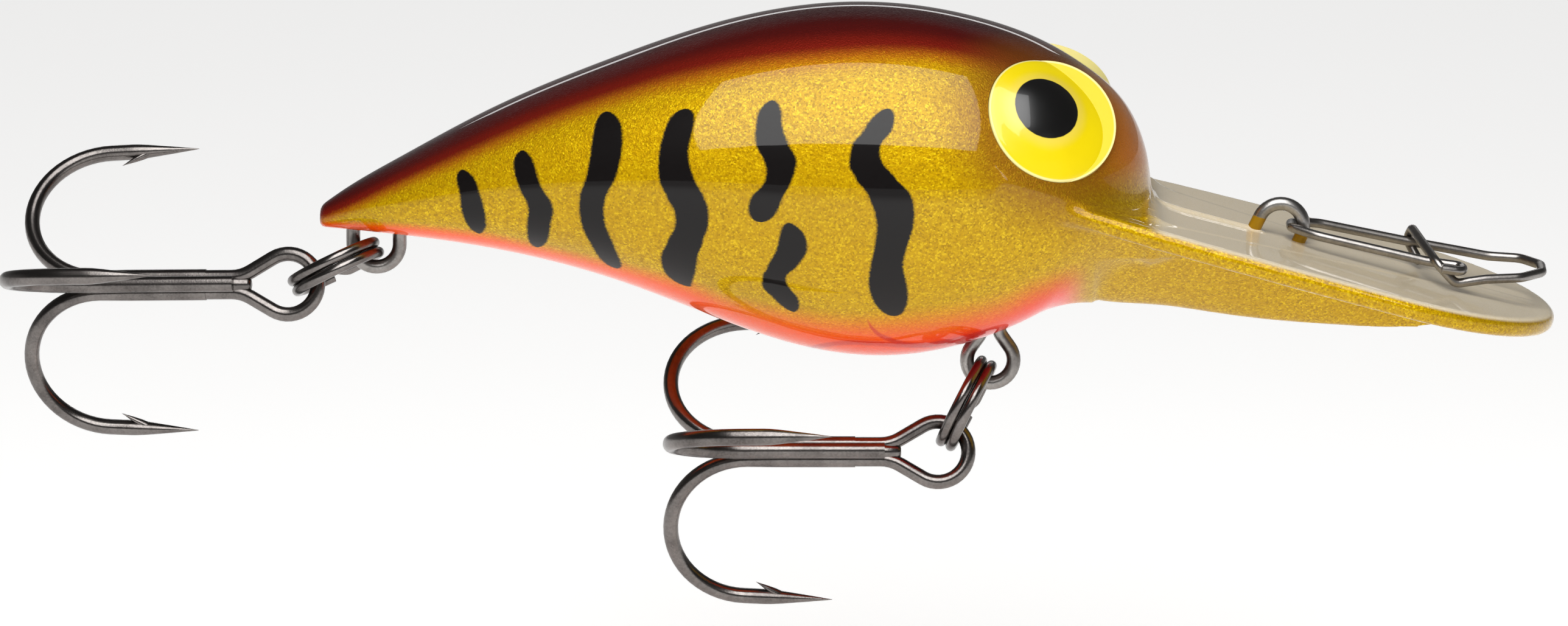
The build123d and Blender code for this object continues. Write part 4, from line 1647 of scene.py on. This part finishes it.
# ---------------------------------------------------------------- hooks
@dataclass
class TrebleHook:
    """A treble hook: a double hook bent from one wire with its eye, and a third hook brazed on.

    Its own frame has x along the shank to the bend, y to the third hook's point and z across the eye.
    """

    name: str
    place: Matrix
    wire: float = 1.0
    reach: float = 10.0
    bend_at: float = 11.4
    point_length: float = 5.45
    needle: float = 4.2
    flare: float = math.radians(3)
    forged: float = 0.93
    eye_wire: float = 0.9
    eye_radius: float = 1.86
    eye_x: float = -0.28
    neck_at: float = 2.6
    shoulder: float = 2.4
    join_at: float = 4.8
    third_start: float = 3.0
    pair_half: float = 0.46
    pair_y: float = -0.29
    third_y: float = 0.609
    forging_run: float = 1.8
    bend_steps: int = 30
    barb_root: tuple[float, float] = (3.1, 0.12)
    barb_apex: tuple[float, float] = (4.75, 1.0)
    barb_radius: float = 0.3
    barb_taper: Points = ((0.3, 0.86), (0.6, 0.62), (0.85, 0.36), (1.0, 0.08))
    bead: Points = (
        (-0.58, 0.0, 0.36), (-0.4, 0.0, 0.46), (0.0, 0.02, 0.5), (0.4, 0.12, 0.5), (1.4, 0.14, 0.48),
        (2.4, 0.14, 0.4), (3.0, 0.14, 0.2))
    taper: Points = (
        (0.1, 0.97), (0.25, 0.85), (0.45, 0.64), (0.65, 0.43), (0.82, 0.24), (0.94, 0.1), (1.0, 0.03))

    def prong(self, name: str, off: float, start: float) -> bpy.types.Object:
        """Draw one hook, flat in the x-y plane, from its shank to its needle point.

        Args:
            name: The piece's name.
            off: The shank wire's distance off the hook's axis.
            start: Where the wire starts along the shank.

        Returns:
            A closed piece, in millimetres.
        """
        wire = BentWire(name, (start, off, 0), (start + 1, off, 0), self.wire)
        wire.straight_to(Vector((self.bend_at - self.forging_run, off, 0)))
        for share in (1, 2, 3):
            wire.straight_to(Vector((self.bend_at - self.forging_run * (1 - share / 3), off, 0)))
            wire.resize(1, self.forged ** (1 / 3), 1.01)
        radius = (self.reach - off) / 2
        wire.spin(Vector((self.bend_at, off + radius, 0)), Vector((0, 0, 1)), math.pi - self.flare,
                  self.bend_steps)
        for run in (self.point_length - self.needle - 0.2, 0.2):
            wire.draw(wire.heading * run)
        thick, drawn = 1.0, 0.0
        for along, left in self.taper:
            wire.draw(wire.heading * ((along - drawn) * self.needle))
            wire.resize(1, left / thick, left / thick)
            thick, drawn = left, along
        tip, heading = wire.at.copy(), wire.heading.copy()
        return joined(wire.done(), self.barb(tip, heading))

    def barb(self, tip: Vector, heading: Vector) -> bpy.types.Object:
        """Draw the barb that is raised behind a point, on the side of the shank.

        Args:
            tip: The point's tip.
            heading: The way that the point faces.

        Returns:
            A closed piece, in millimetres.
        """
        inward = Vector((-heading.y, heading.x, 0))
        if inward.y > 0:
            inward = -inward
        root, apex = (tip - heading * back + inward * out for back, out in (self.barb_root, self.barb_apex))
        along = apex - root
        barb = DrawnFace("barb", root, along, self.barb_radius, 12)
        barb.resize(1, 0.8, 1)
        for share, left in self.barb_taper:
            barb.draw(root + along * share - barb.at)
            barb.resize(left, left, left)
        return barb.done()

    def eye(self) -> bpy.types.Object:
        """Bend the teardrop eye of the double hook, its legs running into the shank.

        Returns:
            A closed piece, in millimetres.
        """
        away = math.hypot(self.neck_at - self.eye_x, self.pair_half)
        tangent = math.atan2(self.pair_half, self.neck_at - self.eye_x) + math.acos(self.eye_radius / away)
        touch = Vector((self.eye_x + self.eye_radius * math.cos(tangent), self.pair_y,
                        self.eye_radius * math.sin(tangent)))
        join, neck, y, half = self.join_at, self.neck_at, self.pair_y, self.pair_half
        wire = BentWire("eye_wire", (join, y, half), (join - 1, y, half), self.eye_wire)
        wire.follow([(neck, y, half), touch], [self.shoulder])
        wire.spin(Vector((self.eye_x, y, 0)), Vector((0, -1, 0)), 2 * math.pi - 2 * tangent)
        wire.follow([(neck, y, -half), (join, y, -half)], [self.shoulder])
        return wire.done()

    def braze(self) -> bpy.types.Object:
        """Shape the bead of braze that fills the corner where the eye's legs meet the shank.

        Returns:
            A closed piece, in millimetres.
        """
        size = 0.22
        bead = DrawnFace("braze", Vector((self.neck_at - 0.62, self.pair_y, 0)), Vector((1, 0, 0)), size, 20)
        for x, up, wide in self.bead:
            bead.draw(Vector((self.neck_at + x, self.pair_y + up, 0)) - bead.at)
            bead.resize(1, wide / size, wide / size)
            size = wide
        return bead.done()

    def build(self) -> list[bpy.types.Object]:
        """Build the double hook and the third hook.

        Returns:
            The two pieces, in metres.
        """
        off = math.hypot(self.pair_y, self.pair_half)
        angle = math.atan2(self.pair_half, self.pair_y)
        first = self.prong(self.name + "_double", off, self.join_at)
        second = twin(first, "second")
        settle(first, Matrix.Rotation(angle, 4, "X"), 1.0)
        settle(second, Matrix.Rotation(-angle, 4, "X"), 1.0)
        double = joined(first, second, self.eye(), self.braze())
        single = self.prong(self.name + "_single", self.third_y, self.third_start)
        pieces = []
        for piece in (double, single):
            smooth(piece, WIRE_SMOOTH)
            pieces.append(settle(piece, self.place))
        return pieces


# ---------------------------------------------------------------- snap
@dataclass
class Snap:
    """One spring wire: a narrow end round the line tie, a wide front end, and an arm that crosses over."""

    wire: float = 0.58
    points: Points = (
        (9.75, -3.55, -2.00), (11.05, -3.45, -2.20), (11.05, -2.15, -2.10), (8.90, -2.10, -1.80),
        (2.20, -1.75, -0.28), (0.62, -0.75, 0.06), (0.62, 0.75, 0.06), (2.20, 1.80, -0.12),
        (7.80, 2.15, -1.34), (10.90, 2.35, -1.95), (12.85, 2.50, -2.35), (14.80, 2.40, -2.46),
        (16.00, 1.00, -2.62), (16.00, -0.90, -2.72), (14.60, -2.40, -2.77), (12.46, -2.70, -2.80),
        (10.60, -2.95, -3.02), (9.45, -2.85, -1.75), (8.15, 2.15, -0.56), (7.85, 2.95, -1.35),
        (8.55, 1.30, -2.45))
    bends: Sequence[float] = (
        0.6, 0.55, 1.0, 2.0, 0.6, 0.6, 2.0, 3.0, 3.0, 3.0, 1.0, 0.85, 0.85, 1.0, 2.0, 0.6, 0.8, 0.35, 0.45)

    def build(self) -> bpy.types.Object:
        """Bend the snap.

        Returns:
            The snap, in metres.
        """
        wire = BentWire("snap_wire", self.points[0], self.points[1], self.wire)
        wire.follow(self.points[1:], self.bends)
        wire.blunt()
        snap = wire.done()
        smooth(snap, WIRE_SMOOTH)
        return settle(snap)

    def fit_out(self, finish: bpy.types.Material) -> None:
        """Bend the snap and plate it."""
        dress(self.build(), finish, "snap", "snap")


# ---------------------------------------------------------------- tackle
@dataclass
class Tackle:
    """A split ring and its treble hook, and where they hang from a loop on the body."""

    name: str
    loop: Spot
    hang: tuple[float, float]
    pitch: float
    roll: float
    yaw: float
    seat: tuple[float, float]
    ring_radius: float = 2.76

    def up(self) -> Vector:
        """Upward direction of the leaning tackle."""
        return Vector((0, math.sin(self.roll), math.cos(self.roll)))

    def across(self) -> Vector:
        """Pivot axis of the leaning tackle."""
        return Vector((0, math.cos(self.roll), -math.sin(self.roll)))

    def along(self) -> Vector:
        """Direction from the ring's hook end to its hanger end."""
        return Vector((math.cos(self.pitch), 0, 0)) + self.up() * math.sin(self.pitch)

    def hanger_end(self) -> Vector:
        """Ring coil's middle line in its hanger's loop."""
        x, y, z = self.loop
        return Vector((x - self.hang[0], y, z - self.hang[1]))

    def ring(self) -> Matrix:
        """Frame of the ring, with its axis along z.

        Returns:
            The frame.
        """
        along = self.along()
        centre = self.hanger_end() - along * self.ring_radius
        return axes(centre, along, along.cross(self.across()))

    def hook(self) -> Matrix:
        """Frame of the hook, with x along its shank.

        Returns:
            The frame.
        """
        end = self.hanger_end() - self.along() * (2 * self.ring_radius)
        eye = end - Vector((self.seat[0], 0, 0)) - self.up() * self.seat[1]
        back = Vector((-math.cos(self.yaw), 0, 0)) + self.across() * math.sin(self.yaw)
        return axes(eye, back, self.up())

    def fit_out(self, finish: bpy.types.Material) -> None:
        """Build the ring and the hook and plate them.

        Args:
            finish: Their finish.
        """
        ring = SplitRing(self.name + "_ring_coil", self.ring(), radius=self.ring_radius).build()
        dress(ring, finish, self.name + "_ring", self.name + "_split_ring")
        hook = TrebleHook(self.name + "_treble", self.hook()).build()
        for piece, kind in zip(hook, ("double", "single")):
            dress(piece, finish, self.name + "_hook", f"{self.name}_hook_{kind}")


# ---------------------------------------------------------------- studio
@dataclass
class Studio:
    """Pale floor, one large soft light, a low strip behind, and the camera."""

    aim: tuple[float, float] = (-30.4, -5.33)
    elevation: float = math.radians(11)
    distance: float = 0.9
    view_width: float = 96.1
    floor_drop: float = 0.012

    def build(self, lowest: float) -> None:
        """Set the stage.

        Args:
            lowest: Height of the lure's lowest point, in metres.
        """
        bpy.ops.object.select_all(action="DESELECT")
        bpy.ops.mesh.primitive_plane_add(size=6.0, location=(0, 0, lowest - self.floor_drop))
        floor = bpy.context.object
        floor.name = "floor"
        floor.data.materials.append(StageFinish("pale_paper").build())
        self.lamp("softbox", (-0.032, -0.215, 0.275), (0.255, 0.36), 1.45)
        self.lamp("strip", (-0.03, 0.42, 0.16), (0.30, 0.03), 0.08)
        self.lamp("fill", (0.3, -0.45, 0.05), (0.2, 0.2), 0.02)
        self.world()
        self.camera()
        bpy.context.scene.view_settings.view_transform = "Standard"

    def lamp(self, name: str, at: Spot, size: tuple[float, float], power: float) -> None:
        """Hang an area light that faces the lure.

        Args:
            name: The light's name.
            at: Where it hangs, in metres.
            size: Its width and height, in metres.
            power: Its power, in watts.
        """
        bpy.ops.object.light_add(type="AREA", location=at)
        lamp = bpy.context.object
        lamp.name = name
        lamp.data.shape = "RECTANGLE"
        lamp.data.size, lamp.data.size_y = size
        lamp.data.energy = power
        aim = Vector((self.aim[0] * MM, 0, 0.003)) - Vector(at)
        lamp.rotation_euler = aim.to_track_quat("-Z", "Y").to_euler()

    def world(self) -> None:
        """Make the world pale to the eye, and dim for light and reflections, most of all on the near side."""
        world = bpy.data.worlds.new("studio")
        bpy.context.scene.world = world
        world.use_nodes = True
        sheet = NodeSheet(world.node_tree)
        split = sheet.node("ShaderNodeSeparateXYZ")
        sheet.feed(split.inputs[0], sheet.node("ShaderNodeTexCoord").outputs["Generated"])
        behind = sheet.mapped(split.outputs[1], -0.15, 0.35, kind="SMOOTHSTEP")
        low = sheet.mapped(split.outputs[2], 0.5, 0.1, kind="SMOOTHSTEP")
        light = sheet.mapped(sheet.math("MULTIPLY", behind, low), 0.0, 1.0, 0.06, 0.2)
        seen = sheet.node("ShaderNodeLightPath").outputs["Is Camera Ray"]
        light = sheet.mapped(seen, 0.0, 1.0, light, 1.0)
        shade = sheet.node("ShaderNodeBackground")
        sheet.feed(shade.inputs["Strength"], light)
        shade.inputs["Color"].default_value = (1.0, 0.995, 0.985, 1.0)
        output = sheet.node("ShaderNodeOutputWorld")
        sheet.feed(output.inputs[0], shade.outputs[0])

    def camera(self) -> None:
        """Long lens, square on to the right flank from a little above."""
        aim = Vector((self.aim[0], 0, self.aim[1] / math.cos(self.elevation))) * MM
        back = Vector((0, -math.cos(self.elevation), math.sin(self.elevation)))
        bpy.ops.object.camera_add(location=aim + back * self.distance)
        camera = bpy.context.object
        camera.rotation_euler = (-back).to_track_quat("-Z", "Y").to_euler()
        camera.data.lens = camera.data.sensor_width * self.distance / (self.view_width * MM)
        camera.data.clip_start, camera.data.clip_end = 0.01, 20.0
        bpy.context.scene.camera = camera


# ---------------------------------------------------------------- the lure
def fit_loops(bare: bpy.types.Material, dipped: bpy.types.Material) -> None:
    """Build the line tie and the two hook hangers.

    Args:
        bare: The hangers' finish.
        dipped: The line tie's finish, with paint on its feet.
    """
    lean = math.radians(26)
    sideways = Vector((0, -1, 0))
    tie = axes(Vector((0, 0, 0)), Vector((math.cos(lean), 0, -math.sin(lean))), sideways)
    tail, belly = (axes(Vector(loop), Vector((-1, 0, 0)), sideways) for loop in (TAIL_LOOP, BELLY_LOOP))
    WireLoop("line_tie_wire", 0.84, 1.40, 2.3, tie).fit_out("line_tie", dipped)
    WireLoop("tail_hanger_wire", 0.86, 1.42, 2.35, tail).fit_out("tail_hanger", bare)
    WireLoop("belly_hanger_wire", 0.86, 1.43, 4.9, belly, neck=0.52,
             flare=math.radians(35)).fit_out("belly_hanger", bare)


def finish_inner() -> None:
    """Give the belly weight and the rattle balls their finishes; they keep their CAD meshes."""
    ballast = CastFinish("cast_ballast", (112, 113, 118), 0.5).build()
    ground = CastFinish("ground_ball", (168, 168, 170), 0.25).build()
    inner = {"belly_weight": ballast, "rattle_ball_rear": ground, "rattle_ball_middle": ground,
             "rattle_ball_front": ground}
    for node, finish in inner.items():
        for slot in frame["nodes"][node].material_slots:
            slot.material = finish
        log.info("%s keeps its shape and takes %s", node, finish.name)


def main() -> None:
    """Build the lure and the studio."""
    logging.basicConfig(level=logging.INFO, format="%(message)s")
    build_groups()
    nickel = WireFinish("bright_wire", (160, 156, 152), (118, 114, 111), 0.27).build()
    dipped = WireFinish("dipped_wire", (186, 183, 180), (146, 143, 140), 0.27, dipped=0.45).build()
    black_nickel = WireFinish("black_nickel", (126, 121, 118), (84, 80, 78), 0.2).build()

    body, eyes = LureBody(), Eyes()
    body.fit_out(eyes)
    eyes.fit_out(body)
    fit_loops(nickel, dipped)
    Tackle("tail", TAIL_LOOP, (0.0, 0.2), math.radians(25.6), math.radians(14), math.radians(8),
           (0.76, -0.13)).fit_out(black_nickel)
    Tackle("belly", BELLY_LOOP, (0.22, 0.22), math.radians(63), math.radians(16.5), 0.0,
           (0.76, 0.50)).fit_out(black_nickel)
    Snap().fit_out(nickel)
    finish_inner()

    Studio().build(cad_box[0].z)


if __name__ == "__main__":
    main()
